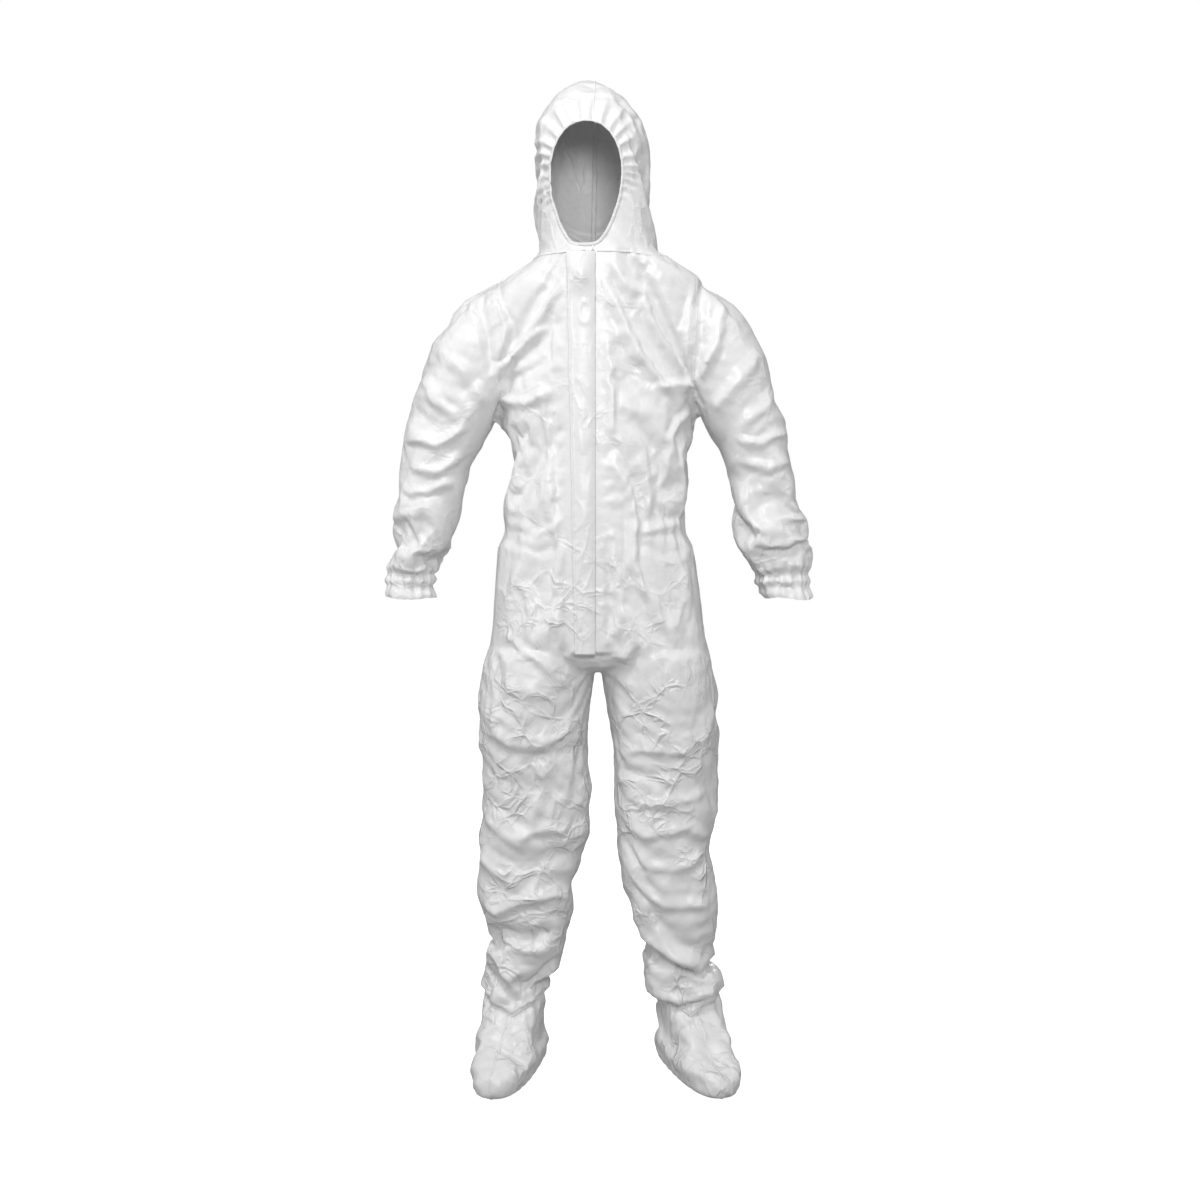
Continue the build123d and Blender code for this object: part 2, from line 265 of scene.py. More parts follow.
def new_mesh_object(name, verts, faces):
    mesh = bpy.data.meshes.new(name)
    mesh.from_pydata([tuple(v) for v in verts], [], faces)
    obj = bpy.data.objects.new(name, mesh)
    bpy.context.scene.collection.objects.link(obj)
    return obj


def shaded_smooth(obj):
    obj.data.polygons.foreach_set("use_smooth", [True] * len(obj.data.polygons))
    return obj


def joined(parts):
    verts, faces, base = [], [], 0
    for v, f in parts:
        verts.append(np.asarray(v))
        faces += [tuple(i + base for i in face) for face in f]
        base += len(v)
    return np.vstack(verts), faces


def evaluated(obj):
    """The object's mesh with its modifiers applied, in the object's place."""
    graph = bpy.context.evaluated_depsgraph_get()
    mesh = bpy.data.meshes.new_from_object(obj.evaluated_get(graph))
    obj.modifiers.clear()
    obj.data = mesh
    return obj


def remeshed(obj, voxel):
    m = obj.modifiers.new("remesh", "REMESH")
    m.mode = "VOXEL"
    m.voxel_size = voxel
    m.use_smooth_shade = True
    return evaluated(obj)


def coordinates(mesh):
    co = np.empty(len(mesh.vertices) * 3)
    mesh.vertices.foreach_get("co", co)
    return co.reshape(-1, 3)


def set_coordinates(mesh, co):
    mesh.vertices.foreach_set("co", co.ravel())
    mesh.update()


def normals(mesh):
    n = np.empty(len(mesh.vertices) * 3)
    mesh.vertex_normals.foreach_get("vector", n)
    return n.reshape(-1, 3)


def smoothed(obj, factor, repeat):
    m = obj.modifiers.new("smooth", "SMOOTH")
    m.factor = factor
    m.iterations = repeat
    return evaluated(obj)


def near(value, middle, width):
    """1 at the middle, falling to 0 at the width."""
    return np.clip(1 - np.abs(value - middle) / width, 0, 1)


def ease(t):
    t = np.clip(t, 0, 1)
    return t * t * (3 - 2 * t)


suit = new_mesh_object("suit", *joined([
    upright(TRUNK), upright(HOOD, 2.25), upright(RIGHT_LEG, 2.2), upright(LEFT_LEG, 2.2),
    sleeve(RIGHT_ARM), sleeve(LEFT_ARM),
    *[turned(upright(BOOT, 2.7), turn, x) for x, turn in BOOTS.values()],
]))
remeshed(suit, VOXEL)
smoothed(suit, 0.5, 3)

# ---------------------------------------------------------------- the face opening
FACE_MIDDLE = (FACE_Z0 + FACE_Z1) / 2 + 0.02


def egg(turn):
    """Half width and height of the face opening's outline at an angle round it."""
    c, s = np.cos(turn), np.sin(turn)
    top = FACE_Z1 - FACE_MIDDLE
    low = FACE_MIDDLE - FACE_Z0
    flat = 0.011 * np.minimum(np.abs(c) / 0.2, 1)
    below = flat + (FACE_HALF - flat) * np.abs(c) ** 0.92 * (1 - 0.22 * np.abs(s) ** 1.6)
    x = np.sign(c) * np.where(s < 0, below, FACE_HALF * np.abs(c) ** 0.92)
    return x + 0.002 * np.minimum(s, 0), np.where(s > 0, top, low) * s


def egg_radius(turn):
    """Distance from the opening's middle to its outline, at an angle round it."""
    ex, ez = egg(np.linspace(-math.pi, math.pi, 721))
    angle = np.arctan2(ez, ex)
    order = np.argsort(angle)
    return np.interp(turn, angle[order], np.hypot(ex, ez)[order], period=2 * math.pi)


def cut_face(obj):
    """Take away the hood's cloth inside the egg, and draw its edge onto the egg's outline."""
    surface = BVHTree.FromObject(obj, bpy.context.evaluated_depsgraph_get())
    bm = bmesh.new()
    bm.from_mesh(obj.data)
    front = [v for v in bm.verts if v.co.y < -0.02 and FACE_Z0 - 0.02 < v.co.z < FACE_Z1 + 0.02]
    place = np.array([(v.co.x - FACE_X, v.co.z - FACE_MIDDLE) for v in front])
    off = np.hypot(place[:, 0], place[:, 1]) - egg_radius(np.arctan2(place[:, 1], place[:, 0]))
    bmesh.ops.delete(bm, geom=[v for v, d in zip(front, off) if d < -0.3 * VOXEL], context="VERTS")
    loose = [f for f in bm.faces if sum(e.is_boundary for e in f.edges) >= 3]
    bmesh.ops.delete(bm, geom=loose, context="FACES")
    rim = [v for v in bm.verts if v.is_boundary]
    for v in rim:
        x, z = v.co.x - FACE_X, v.co.z - FACE_MIDDLE
        r = float(egg_radius(math.atan2(z, x))) / math.hypot(x, z)
        spot = surface.ray_cast(Vector((FACE_X + x * r, -1, FACE_MIDDLE + z * r)), Vector((0, 1, 0)))[0]
        v.co = spot
    beside = {o for v in rim for e in v.link_edges for o in e.verts} - set(rim)
    for _ in range(3):
        bmesh.ops.smooth_vert(bm, verts=list(beside), factor=0.5, use_axis_x=True, use_axis_z=True,
                              use_axis_y=True)
    bm.to_mesh(obj.data)
    bm.free()


def with_corners(faces):
    """Faces with their edges and points, as the cutting tool wants them."""
    return faces + list({e for f in faces for e in f.edges}) + list({v for f in faces for v in f.verts})


def open_cuffs(obj):
    """Cut each sleeve off level at its end, so that it is open."""
    bm = bmesh.new()
    bm.from_mesh(obj.data)
    faces = [f for f in bm.faces for p in [f.calc_center_median()] if abs(p.x) > 0.28 and 0.80 < p.z < 0.90]
    bmesh.ops.bisect_plane(bm, geom=with_corners(faces), plane_co=(0, 0, CUFF_END),
                           plane_no=(0, 0, -1), dist=0.0012, clear_outer=True)
    bm.to_mesh(obj.data)
    bm.free()


cut_face(suit)
open_cuffs(suit)
base = coordinates(suit.data)
FLAP_MIDDLE = (FLAP_FREE + FLAP_SEAM) / 2
front_strip = (base[:, 1] < 0) & (base[:, 2] > 0.77) & (base[:, 2] < NECK + 0.01)
at_flap = np.where(front_strip, 1 - ease((np.abs(base[:, 0] - FLAP_MIDDLE) - 0.024) / 0.012), 0)
at_zip = np.where(front_strip, 1 - ease((np.abs(base[:, 0] - ZIP_X) - 0.022) / 0.02), 0)
base[:, 1] += (FRONT_CLOTH - base[:, 1]) * at_zip
set_coordinates(suit.data, base)

# ---------------------------------------------------------------- folds laid in
# Each stroke: points (x, z), width on each side of its line, height; a short second width
# makes the ledge of a fold that hangs over
FRONT_FOLDS = [
    # right leg of the wearer
    ([(-0.210, 0.648), (-0.160, 0.622), (-0.125, 0.616), (-0.072, 0.631), (-0.032, 0.650)],
     0.030, 0.010, 0.014),
    ([(-0.130, 0.602), (-0.080, 0.604), (-0.022, 0.608)], 0.014, 0.018, -0.009),
    ([(-0.172, 0.708), (-0.120, 0.704), (-0.056, 0.712)], 0.022, 0.012, 0.007),
    ([(-0.215, 0.500), (-0.165, 0.462), (-0.133, 0.425)], 0.022, 0.014, 0.011),
    ([(-0.162, 0.457), (-0.139, 0.449), (-0.119, 0.458), (-0.073, 0.459), (-0.035, 0.475)],
     0.020, 0.008, 0.013),
    ([(-0.108, 0.535), (-0.118, 0.500), (-0.125, 0.462)], 0.014, 0.016, 0.009),
    ([(-0.210, 0.425), (-0.178, 0.385), (-0.146, 0.350)], 0.024, 0.012, 0.011),
    ([(-0.222, 0.326), (-0.182, 0.320), (-0.148, 0.331), (-0.093, 0.337), (-0.058, 0.323)],
     0.036, 0.007, 0.016),
    ([(-0.205, 0.222), (-0.172, 0.178), (-0.140, 0.132)], 0.020, 0.007, 0.012),
    ([(-0.070, 0.224), (-0.104, 0.182), (-0.140, 0.132)], 0.008, 0.018, 0.011),
    ([(-0.118, 0.604), (-0.100, 0.560), (-0.099, 0.514)], 0.018, 0.020, 0.006),
    ([(-0.190, 0.730), (-0.188, 0.690), (-0.186, 0.640)], 0.010, 0.016, 0.006),
    ([(-0.205, 0.290), (-0.150, 0.265), (-0.085, 0.285)], 0.020, 0.020, -0.008),
    ([(-0.200, 0.262), (-0.150, 0.240), (-0.080, 0.250)], 0.014, 0.012, 0.006),
    # left leg of the wearer
    ([(0.034, 0.588), (0.076, 0.606), (0.130, 0.604), (0.186, 0.622), (0.215, 0.642)], 0.026, 0.010, 0.013),
    ([(0.030, 0.560), (0.080, 0.566), (0.140, 0.560)], 0.016, 0.014, -0.008),
    ([(0.218, 0.690), (0.200, 0.660), (0.186, 0.630)], 0.018, 0.010, 0.010),
    ([(0.046, 0.520), (0.090, 0.500), (0.150, 0.512), (0.215, 0.545)], 0.020, 0.010, 0.011),
    ([(0.048, 0.470), (0.100, 0.455), (0.160, 0.462), (0.216, 0.440)], 0.018, 0.009, 0.012),
    ([(0.060, 0.440), (0.100, 0.405), (0.150, 0.395), (0.210, 0.412)], 0.020, 0.009, 0.011),
    ([(0.064, 0.337), (0.102, 0.262), (0.141, 0.225), (0.207, 0.198)], 0.026, 0.009, 0.014),
    ([(0.102, 0.210), (0.150, 0.207), (0.207, 0.190)], 0.012, 0.009, -0.007),
    ([(0.060, 0.395), (0.090, 0.350), (0.130, 0.318), (0.215, 0.330)], 0.022, 0.010, 0.011),
    ([(0.105, 0.160), (0.150, 0.142), (0.216, 0.158)], 0.018, 0.008, 0.010),
    ([(0.200, 0.395), (0.190, 0.345), (0.196, 0.285)], 0.014, 0.020, 0.007),
    ([(0.110, 0.540), (0.118, 0.505), (0.100, 0.468)], 0.014, 0.014, 0.006),
    # hips and waist
    ([(0.016, 0.985), (0.023, 0.890), (0.020, 0.790)], 0.012, 0.010, -0.011),
    ([(0.034, 0.960), (0.041, 0.880), (0.034, 0.780)], 0.008, 0.014, 0.007),
    ([(-0.070, 0.960), (-0.074, 0.880), (-0.062, 0.800)], 0.012, 0.008, 0.006),
    ([(-0.088, 0.862), (-0.062, 0.812), (-0.037, 0.762)], 0.016, 0.012, 0.008),
    ([(0.068, 0.906), (0.101, 0.869), (0.119, 0.802)], 0.014, 0.014, 0.008),
    ([(-0.102, 1.125), (-0.082, 1.030), (-0.060, 0.934), (-0.058, 0.872)], 0.014, 0.014, 0.006),
    ([(-0.165, 1.000), (-0.110, 0.984), (-0.060, 0.990)], 0.014, 0.010, 0.004),
    ([(0.155, 1.002), (0.100, 0.985), (0.050, 0.992)], 0.014, 0.010, 0.004),
    ([(-0.170, 0.966), (-0.120, 0.952), (-0.070, 0.962)], 0.014, 0.014, -0.004),
    ([(0.165, 0.966), (0.110, 0.950), (0.060, 0.962)], 0.014, 0.014, -0.004),
    ([(-0.150, 0.930), (-0.120, 0.860), (-0.110, 0.780)], 0.020, 0.020, 0.007),
    ([(0.150, 0.940), (0.150, 0.870), (0.130, 0.790)], 0.020, 0.020, 0.007),
    ([(-0.178, 0.800), (-0.110, 0.765), (-0.050, 0.712)], 0.016, 0.008, 0.006),
    ([(0.050, 0.860), (0.062, 0.800), (0.040, 0.745)], 0.010, 0.016, 0.007),
    # chest: from the armpits and shoulders
    ([(-0.212, 1.432), (-0.203, 1.350), (-0.194, 1.279)], 0.010, 0.016, -0.013),
    ([(-0.190, 1.436), (-0.176, 1.360), (-0.186, 1.290)], 0.012, 0.016, 0.010),
    ([(-0.194, 1.279), (-0.145, 1.310), (-0.097, 1.345)], 0.008, 0.016, 0.012),
    ([(-0.186, 1.296), (-0.120, 1.345), (-0.070, 1.420)], 0.008, 0.014, 0.009),
    ([(-0.190, 1.262), (-0.140, 1.262), (-0.080, 1.285)], 0.010, 0.016, -0.008),
    ([(-0.185, 1.232), (-0.130, 1.215), (-0.075, 1.235)], 0.008, 0.016, 0.010),
    ([(-0.170, 1.200), (-0.140, 1.120), (-0.130, 1.040)], 0.008, 0.016, 0.008),
    ([(-0.100, 1.250), (-0.088, 1.140), (-0.070, 1.010)], 0.008, 0.014, 0.006),
    ([(0.193, 1.446), (0.192, 1.350), (0.183, 1.252)], 0.014, 0.010, -0.013),
    ([(0.231, 1.409), (0.208, 1.335), (0.187, 1.257)], 0.008, 0.016, 0.012),
    ([(0.172, 1.440), (0.168, 1.350), (0.176, 1.262)], 0.008, 0.014, 0.008),
    ([(0.004, 1.440), (0.035, 1.392), (0.073, 1.296), (0.104, 1.257), (0.122, 1.226)], 0.008, 0.020, 0.012),
    ([(0.016, 1.452), (0.085, 1.400), (0.120, 1.320), (0.168, 1.258)], 0.008, 0.018, 0.009),
    ([(0.180, 1.248), (0.140, 1.246), (0.100, 1.236)], 0.008, 0.016, 0.010),
    ([(0.176, 1.222), (0.128, 1.160), (0.112, 1.060)], 0.008, 0.018, 0.009),
    ([(0.014, 1.340), (0.022, 1.240), (0.038, 1.144)], 0.006, 0.014, 0.010),
    ([(0.036, 1.128), (0.060, 1.020), (0.070, 0.930), (0.104, 0.862)], 0.006, 0.016, 0.009),
    ([(0.078, 1.180), (0.086, 1.090), (0.080, 1.000)], 0.008, 0.014, 0.006),
    # right sleeve of the wearer
    ([(-0.350, 1.165), (-0.300, 1.150), (-0.240, 1.175)], 0.018, 0.009, 0.011),
    ([(-0.352, 1.118), (-0.300, 1.100), (-0.245, 1.130)], 0.016, 0.009, 0.011),
    ([(-0.360, 1.070), (-0.320, 1.065), (-0.262, 1.090)], 0.014, 0.009, 0.008),
    ([(-0.290, 1.330), (-0.245, 1.275), (-0.205, 1.215)], 0.018, 0.018, 0.009),
    ([(-0.320, 1.280), (-0.300, 1.220), (-0.255, 1.180)], 0.016, 0.012, 0.008),
    ([(-0.350, 1.040), (-0.335, 0.990), (-0.300, 0.950)], 0.014, 0.014, 0.007),
    # left sleeve of the wearer
    ([(0.254, 1.095), (0.300, 0.995), (0.296, 0.950)], 0.016, 0.022, 0.009),
    ([(0.385, 1.020), (0.345, 1.012), (0.312, 1.020)], 0.014, 0.008, 0.009),
    ([(0.388, 0.975), (0.340, 0.962), (0.290, 0.968)], 0.016, 0.007, 0.011),
    ([(0.300, 1.330), (0.255, 1.270), (0.215, 1.205)], 0.018, 0.018, 0.009),
    ([(0.352, 1.180), (0.300, 1.150), (0.250, 1.165)], 0.016, 0.010, 0.010),
    ([(0.360, 1.125), (0.310, 1.105), (0.262, 1.120)], 0.016, 0.009, 0.009),
    ([(0.330, 1.260), (0.300, 1.215), (0.258, 1.190)], 0.014, 0.014, 0.007),
    # hood
    ([(-0.105, 1.560), (-0.102, 1.640), (-0.096, 1.710)], 0.014, 0.014, 0.005),
    ([(0.062, 1.740), (0.078, 1.660), (0.080, 1.560)], 0.014, 0.014, 0.005),
]
BACK_FOLDS = [
    ([(-0.170, 0.985), (0.000, 0.975), (0.165, 0.985)], 0.020, 0.012, 0.008),
    ([(-0.160, 0.945), (0.010, 0.935), (0.160, 0.948)], 0.018, 0.014, -0.007),
    ([(-0.150, 0.800), (-0.080, 0.770), (-0.015, 0.745)], 0.020, 0.012, 0.010),
    ([(0.150, 0.805), (0.085, 0.770), (0.015, 0.745)], 0.020, 0.012, 0.010),
    ([(-0.200, 0.690), (-0.120, 0.665), (-0.030, 0.680)], 0.024, 0.010, 0.011),
    ([(0.205, 0.700), (0.120, 0.668), (0.030, 0.684)], 0.024, 0.010, 0.011),
    ([(-0.205, 0.520), (-0.120, 0.498), (-0.030, 0.520)], 0.026, 0.009, 0.014),
    ([(0.215, 0.515), (0.130, 0.492), (0.045, 0.512)], 0.026, 0.009, 0.014),
    ([(-0.210, 0.455), (-0.120, 0.438), (-0.035, 0.462)], 0.022, 0.009, 0.013),
    ([(0.215, 0.452), (0.130, 0.432), (0.050, 0.450)], 0.022, 0.009, 0.013),
    ([(-0.215, 0.360), (-0.140, 0.330), (-0.070, 0.352)], 0.024, 0.012, 0.010),
    ([(0.220, 0.352), (0.150, 0.322), (0.075, 0.345)], 0.024, 0.012, 0.010),
    ([(-0.205, 0.240), (-0.150, 0.205), (-0.085, 0.228)], 0.020, 0.009, 0.011),
    ([(0.215, 0.236), (0.160, 0.202), (0.105, 0.222)], 0.020, 0.009, 0.011),
    ([(-0.170, 1.200), (-0.110, 1.280), (-0.085, 1.400)], 0.022, 0.018, 0.009),
    ([(0.170, 1.200), (0.110, 1.280), (0.090, 1.400)], 0.022, 0.018, 0.009),
    ([(-0.060, 1.120), (-0.040, 1.250), (-0.050, 1.380)], 0.024, 0.020, 0.007),
    ([(0.065, 1.110), (0.045, 1.240), (0.050, 1.370)], 0.024, 0.020, 0.007),
    ([(-0.355, 1.150), (-0.300, 1.128), (-0.240, 1.140)], 0.018, 0.009, 0.010),
    ([(0.355, 1.150), (0.300, 1.128), (0.250, 1.140)], 0.018, 0.009, 0.010),
    ([(-0.360, 1.060), (-0.320, 1.030), (-0.275, 1.050)], 0.016, 0.010, 0.008),
    ([(0.375, 1.020), (0.320, 0.995), (0.265, 1.015)], 0.018, 0.010, 0.009),
    ([(-0.100, 1.560), (0.000, 1.535), (0.090, 1.560)], 0.016, 0.010, 0.008),
    ([(-0.095, 1.520), (0.000, 1.505), (0.090, 1.520)], 0.014, 0.010, -0.006),
]


STROKE_SHARE = 0.85


def stroke_heights(co, strokes):
    """The height that a list of strokes adds at each point, seen along Y."""
    total = np.zeros(len(co))
    for points, above, below, height in strokes:
        best = np.full(len(co), 9.0)
        side = np.zeros(len(co))
        run = np.zeros(len(co))
        lengths = [math.dist(a, b) for a, b in zip(points, points[1:])]
        done = 0.0
        for (a, b), length in zip(zip(points, points[1:]), lengths):
            ax, az = co[:, 0] - a[0], co[:, 2] - a[1]
            dx, dz = (b[0] - a[0]) / length, (b[1] - a[1]) / length
            t = np.clip(ax * dx + az * dz, 0, length)
            off = np.hypot(ax - t * dx, az - t * dz)
            closer = off < best
            up = az * abs(dx) - ax * dz * np.sign(dx if dx else 1)
            best = np.where(closer, off, best)
            side = np.where(closer, up, side)
            run = np.where(closer, (done + t) / sum(lengths), run)
            done += length
        width = np.where(side > 0, above, below)
        profile = np.clip(1 - best / width, 0, 1)
        total += height * STROKE_SHARE * profile * ease(np.minimum(run, 1 - run) * 4 + 0.1)
    return total


def wobble(co, scale, seed, octaves=3):
    """Smooth noise from -1 to 1 at each point."""
    return np.array([noise.fractal(Vector(p) * scale + Vector((seed, seed, seed)), 0.8, 2.0, octaves)
                     for p in co])


co = coordinates(suit.data)
normal = normals(suit.data)
# the fabric meanders, so strokes are read at places that wander by a few millimetres
wander = np.stack([wobble(co, 9, 3), np.zeros(len(co)), wobble(co, 9, 11)], 1) * 0.010
facing = np.clip(-normal[:, 1] * 1.6 + 0.25, 0, 1)
backing = np.clip(normal[:, 1] * 1.6 + 0.25, 0, 1)
lift = stroke_heights(co + wander, FRONT_FOLDS) * facing + stroke_heights(co + wander, BACK_FOLDS) * backing
lift *= 1 - 0.42 * ease((0.76 - co[:, 2]) / 0.06) * ease((co[:, 2] - 0.26) / 0.08)
lift *= 1 - 0.25 * ease((np.abs(co[:, 0]) - 0.21) / 0.03)


def facets(co, ways, seed):
    """Flat facets that meet in sharp creases, as in crushed paper.  Ways: ripples per metre along X, Y, Z."""
    total = np.zeros(len(co))
    for k, way in enumerate(ways):
        phase = co @ np.array(way, float) + 0.6 * wobble(co, 5, seed + 9 * k, 2)
        zigzag = 4 * np.abs(phase - np.floor(phase + 0.5)) - 1
        total += zigzag * ease(0.42 + 1.6 * wobble(co, 6, seed + 9 * k + 4, 1))
    return total / len(ways) ** 0.5


legs = ease((0.80 - co[:, 2]) / 0.12)
sleeves = ease((np.abs(co[:, 0]) - 0.19) / 0.05) * (co[:, 2] > 0.8)
hood_share = ease((co[:, 2] - 1.47) / 0.05)
body = np.clip(1 - legs - sleeves - hood_share, 0, 1)
between_legs = near(co[:, 0], 0, 0.05) ** 0.5 * (co[:, 2] > 0.55) * legs
leg_ways = [(7, 4, 11), (-9, 3, 9), (4, -5, 15), (12, 6, 4)]
lift += 0.0042 * legs * (1 - between_legs) * facets(co, leg_ways, 101)
lift += 0.0042 * sleeves * facets(co, [(8, 4, 8), (-9, 5, 7), (6, -6, 12)], 131)
lift += 0.0018 * body * facets(co, [(13, 5, 3), (-9, 6, 6), (5, -6, 8)], 161)
lift += 0.0008 * hood_share * facets(co, [(13, 6, 5), (-10, 8, 8)], 191)


def gathers(angle, away, reach, count, height, seed):
    """Ripples across an elastic that die away from it."""
    bend = 0.9 * np.sin(angle * 2 + seed) + 0.6 * np.sin(angle * 5 + 2 * seed)
    ripple = np.cos(angle * count + 3 * bend + seed)
    return height * ripple * np.clip(1 - away / reach, 0, 1) ** 1.3


for side in (-1, 1):
    arm = (co[:, 0] * side > 0.24) & (co[:, 2] < 0.97)
    cuff_angle = np.arctan2(co[:, 1], co[:, 0] - side * 0.341)
    lift += np.where(arm, gathers(cuff_angle, np.abs(co[:, 2] - 0.898), 0.052, 17, 0.0042, side), 0)
    lift -= np.where(arm, 0.0055 * (near(co[:, 2], 0.908, 0.012) + near(co[:, 2], 0.886, 0.011)), 0)
    leg = (co[:, 0] * side > 0) & (co[:, 2] < 0.30)
    ankle_angle = np.arctan2(co[:, 1], co[:, 0] - side * 0.157)
    lift += np.where(leg, gathers(ankle_angle, np.abs(co[:, 2] - ANKLE), 0.045, 13, 0.0022, side + 4), 0)
waist_angle = np.arctan2(co[:, 1], co[:, 0] * 0.7)
on_trunk = (np.abs(co[:, 0]) < 0.2) & (co[:, 2] > 0.85) & (co[:, 2] < 1.15)
from_zip = np.clip((np.abs(co[:, 0] - ZIP_X) - 0.045) / 0.05, 0, 1)
at_waist = gathers(waist_angle, np.abs(co[:, 2] - WAIST), 0.055, 26, 0.0014, 2.2)
lift += np.where(on_trunk, at_waist, 0) * from_zip

# the line of the zip, the soles and the cut of the boots stay as they are
zip_keep = 1 - np.maximum(at_flap, at_zip)
sole_keep = ease((co[:, 2] - 0.012) / 0.03)
co = co + normal * (lift * zip_keep * sole_keep)[:, None]
set_coordinates(suit.data, co)


# ---------------------------------------------------------------- cloth simulation
def weighted(obj, name, share, levels):
    """A vertex group whose weights are the shares, rounded to so many levels."""
    group = obj.vertex_groups.new(name=name)
    for level in range(1, levels + 1):
        chosen = np.flatnonzero(np.round(share * levels).astype(int) == level)
        if len(chosen):
            group.add(chosen.tolist(), level / levels, "REPLACE")


def simulate(obj, frames):
    """Crumple the laminate: it is a little larger than the body it hangs on, and buckles."""
    co = coordinates(obj.data)
    hold = 0.035 + 0.05 * (body + hood_share) + 0.02 * np.clip(wobble(co, 6, 21, 2), -1, 1)
    hold = np.maximum(hold, 0.4 * between_legs)
    hold = np.maximum(hold, np.clip(at_flap + at_zip, 0, 1))
    hold = np.maximum(hold, near(co[:, 2], 0.0, 0.035) ** 0.5)
    hold = np.maximum(hold, 0.5 * near(co[:, 2], ANKLE, 0.012))
    cuffs = np.abs(co[:, 0]) > 0.28
    hold = np.where(cuffs, np.maximum(hold, 0.6 * near(co[:, 2], 0.900, 0.012)), hold)
    waist = (np.abs(co[:, 0]) < 0.2)
    hold = np.where(waist, np.maximum(hold, 0.5 * near(co[:, 2], WAIST, 0.012)), hold)
    hold = np.where(waist, np.maximum(hold, 0.5 * near(co[:, 2], 1.482, 0.012)), hold)
    ex, ez = egg(np.arctan2(co[:, 2] - FACE_MIDDLE, co[:, 0] - FACE_X))
    off = np.hypot(co[:, 0] - FACE_X, co[:, 2] - FACE_MIDDLE) - np.hypot(ex, ez)
    rim = (co[:, 1] < -0.02) & (co[:, 2] > 1.48)
    hold = np.where(rim, np.maximum(hold, near(off, 0, 0.014)), hold)
    weighted(obj, "hold", hold, 50)
    weighted(obj, "smooth", np.clip(ease((co[:, 2] - 0.72) / 0.12) - 0.65 * sleeves, 0, 1), 10)
    cloth = obj.modifiers.new("cloth", "CLOTH")
    s = cloth.settings
    s.quality = 4
    s.mass = 0.12
    s.tension_stiffness = 30
    s.compression_stiffness = 30
    s.shear_stiffness = 12
    s.bending_stiffness = 1.6
    s.tension_damping = 8
    s.compression_damping = 8
    s.shear_damping = 8
    s.bending_damping = 1.5
    s.air_damping = 2
    s.vertex_group_mass = "hold"
    s.pin_stiffness = 0.6
    s.vertex_group_shrink = "smooth"
    s.shrink_min = -0.028
    s.shrink_max = -0.010
    s.effector_weights.gravity = 0.1
    cloth.collision_settings.use_collision = False
    cloth.collision_settings.use_self_collision = False
    for f in range(1, frames + 1):
        bpy.context.scene.frame_set(f)
    evaluated(obj)
    bpy.context.scene.frame_set(1)


before = coordinates(suit.data)
simulate(suit, 26)
after = coordinates(suit.data)
moved = after - before
far = np.linalg.norm(moved, axis=1)
cap = 0.016
moved *= np.minimum(1, cap / np.maximum(far, 1e-9))[:, None]
low = before + moved
low[:, 2] = np.maximum(low[:, 2], 0.0)
set_coordinates(suit.data, low)


def creased(mesh, co, times, amount):
    """Points with their folds drawn sharper: each moves away from the local mean of its neighbours."""
    ends = np.empty(len(mesh.edges) * 2, int)
    mesh.edges.foreach_get("vertices", ends)
    a, b = ends.reshape(-1, 2).T
    count = np.bincount(ends, minlength=len(co))[:, None]
    soft = co.copy()
    for _ in range(times):
        total = np.stack([np.bincount(a, soft[b, k], len(co)) + np.bincount(b, soft[a, k], len(co))
                          for k in range(3)], 1)
        soft = 0.4 * soft + 0.6 * total / count
    step = (co - soft) * amount[:, None]
    far = np.linalg.norm(step, axis=1)
    return co + step * np.minimum(1, 0.006 / np.maximum(far, 1e-9))[:, None]


free_edge = near(base[:, 2], CUFF_END, 0.010) * (np.abs(base[:, 0]) > 0.28)
from_face = np.hypot(base[:, 0] - FACE_X, base[:, 2] - FACE_MIDDLE)
rim_near = (base[:, 1] < -0.02) & (base[:, 2] > 1.45) & (from_face < 0.14)
above_boots = ease((base[:, 2] - 0.09) / 0.05)
share = (1 - free_edge) * above_boots * zip_keep * sole_keep * np.where(rim_near, 0, 1)
share = share * (1 - 0.7 * between_legs)
set_coordinates(suit.data, creased(suit.data, coordinates(suit.data), 5, 0.9 * share))

# under the flap the cloth stays flat, so that nothing presses through the flap
co = coordinates(suit.data)
flat_y = FRONT_CLOTH + 0.0007 * near(co[:, 0], FLAP_FREE, 0.02)
co[:, 1] = np.where((at_flap > 0) & (co[:, 1] < flat_y), co[:, 1] + (flat_y - co[:, 1]) * at_flap, co[:, 1])
set_coordinates(suit.data, co)


# ---------------------------------------------------------------- cutting the suit into its pieces
PARTS = ["left_front", "right_front", "left_back", "right_back", "left_hood", "right_hood"]
for side in SIDE_NAME.values():
    PARTS += [f"{side}_sleeve_upper", f"{side}_sleeve_lower", f"{side}_cuff_cloth", f"{side}_leg_upper",
              f"{side}_leg_lower", f"{side}_boot_outer", f"{side}_boot_inner"]
PARTS.append("under_zip")
NUMBER = {name: k for k, name in enumerate(PARTS)}
SLOT_HALF = 0.0125
ANKLE_LOW, ANKLE_RISE = 0.113, 0.55  # the V of the ankle seam: its point, and its slope


def in_sleeve(x, z):
    return z > 0.83 and abs(x) > ARMHOLE + min(max((1.215 - z) * 0.5, 0), 0.04)


def ankle_height(x, side):
    """The ankle seam: a V with its point in front of the ankle."""
    return ANKLE_LOW + ANKLE_RISE * abs(x - BOOTS[side][0])


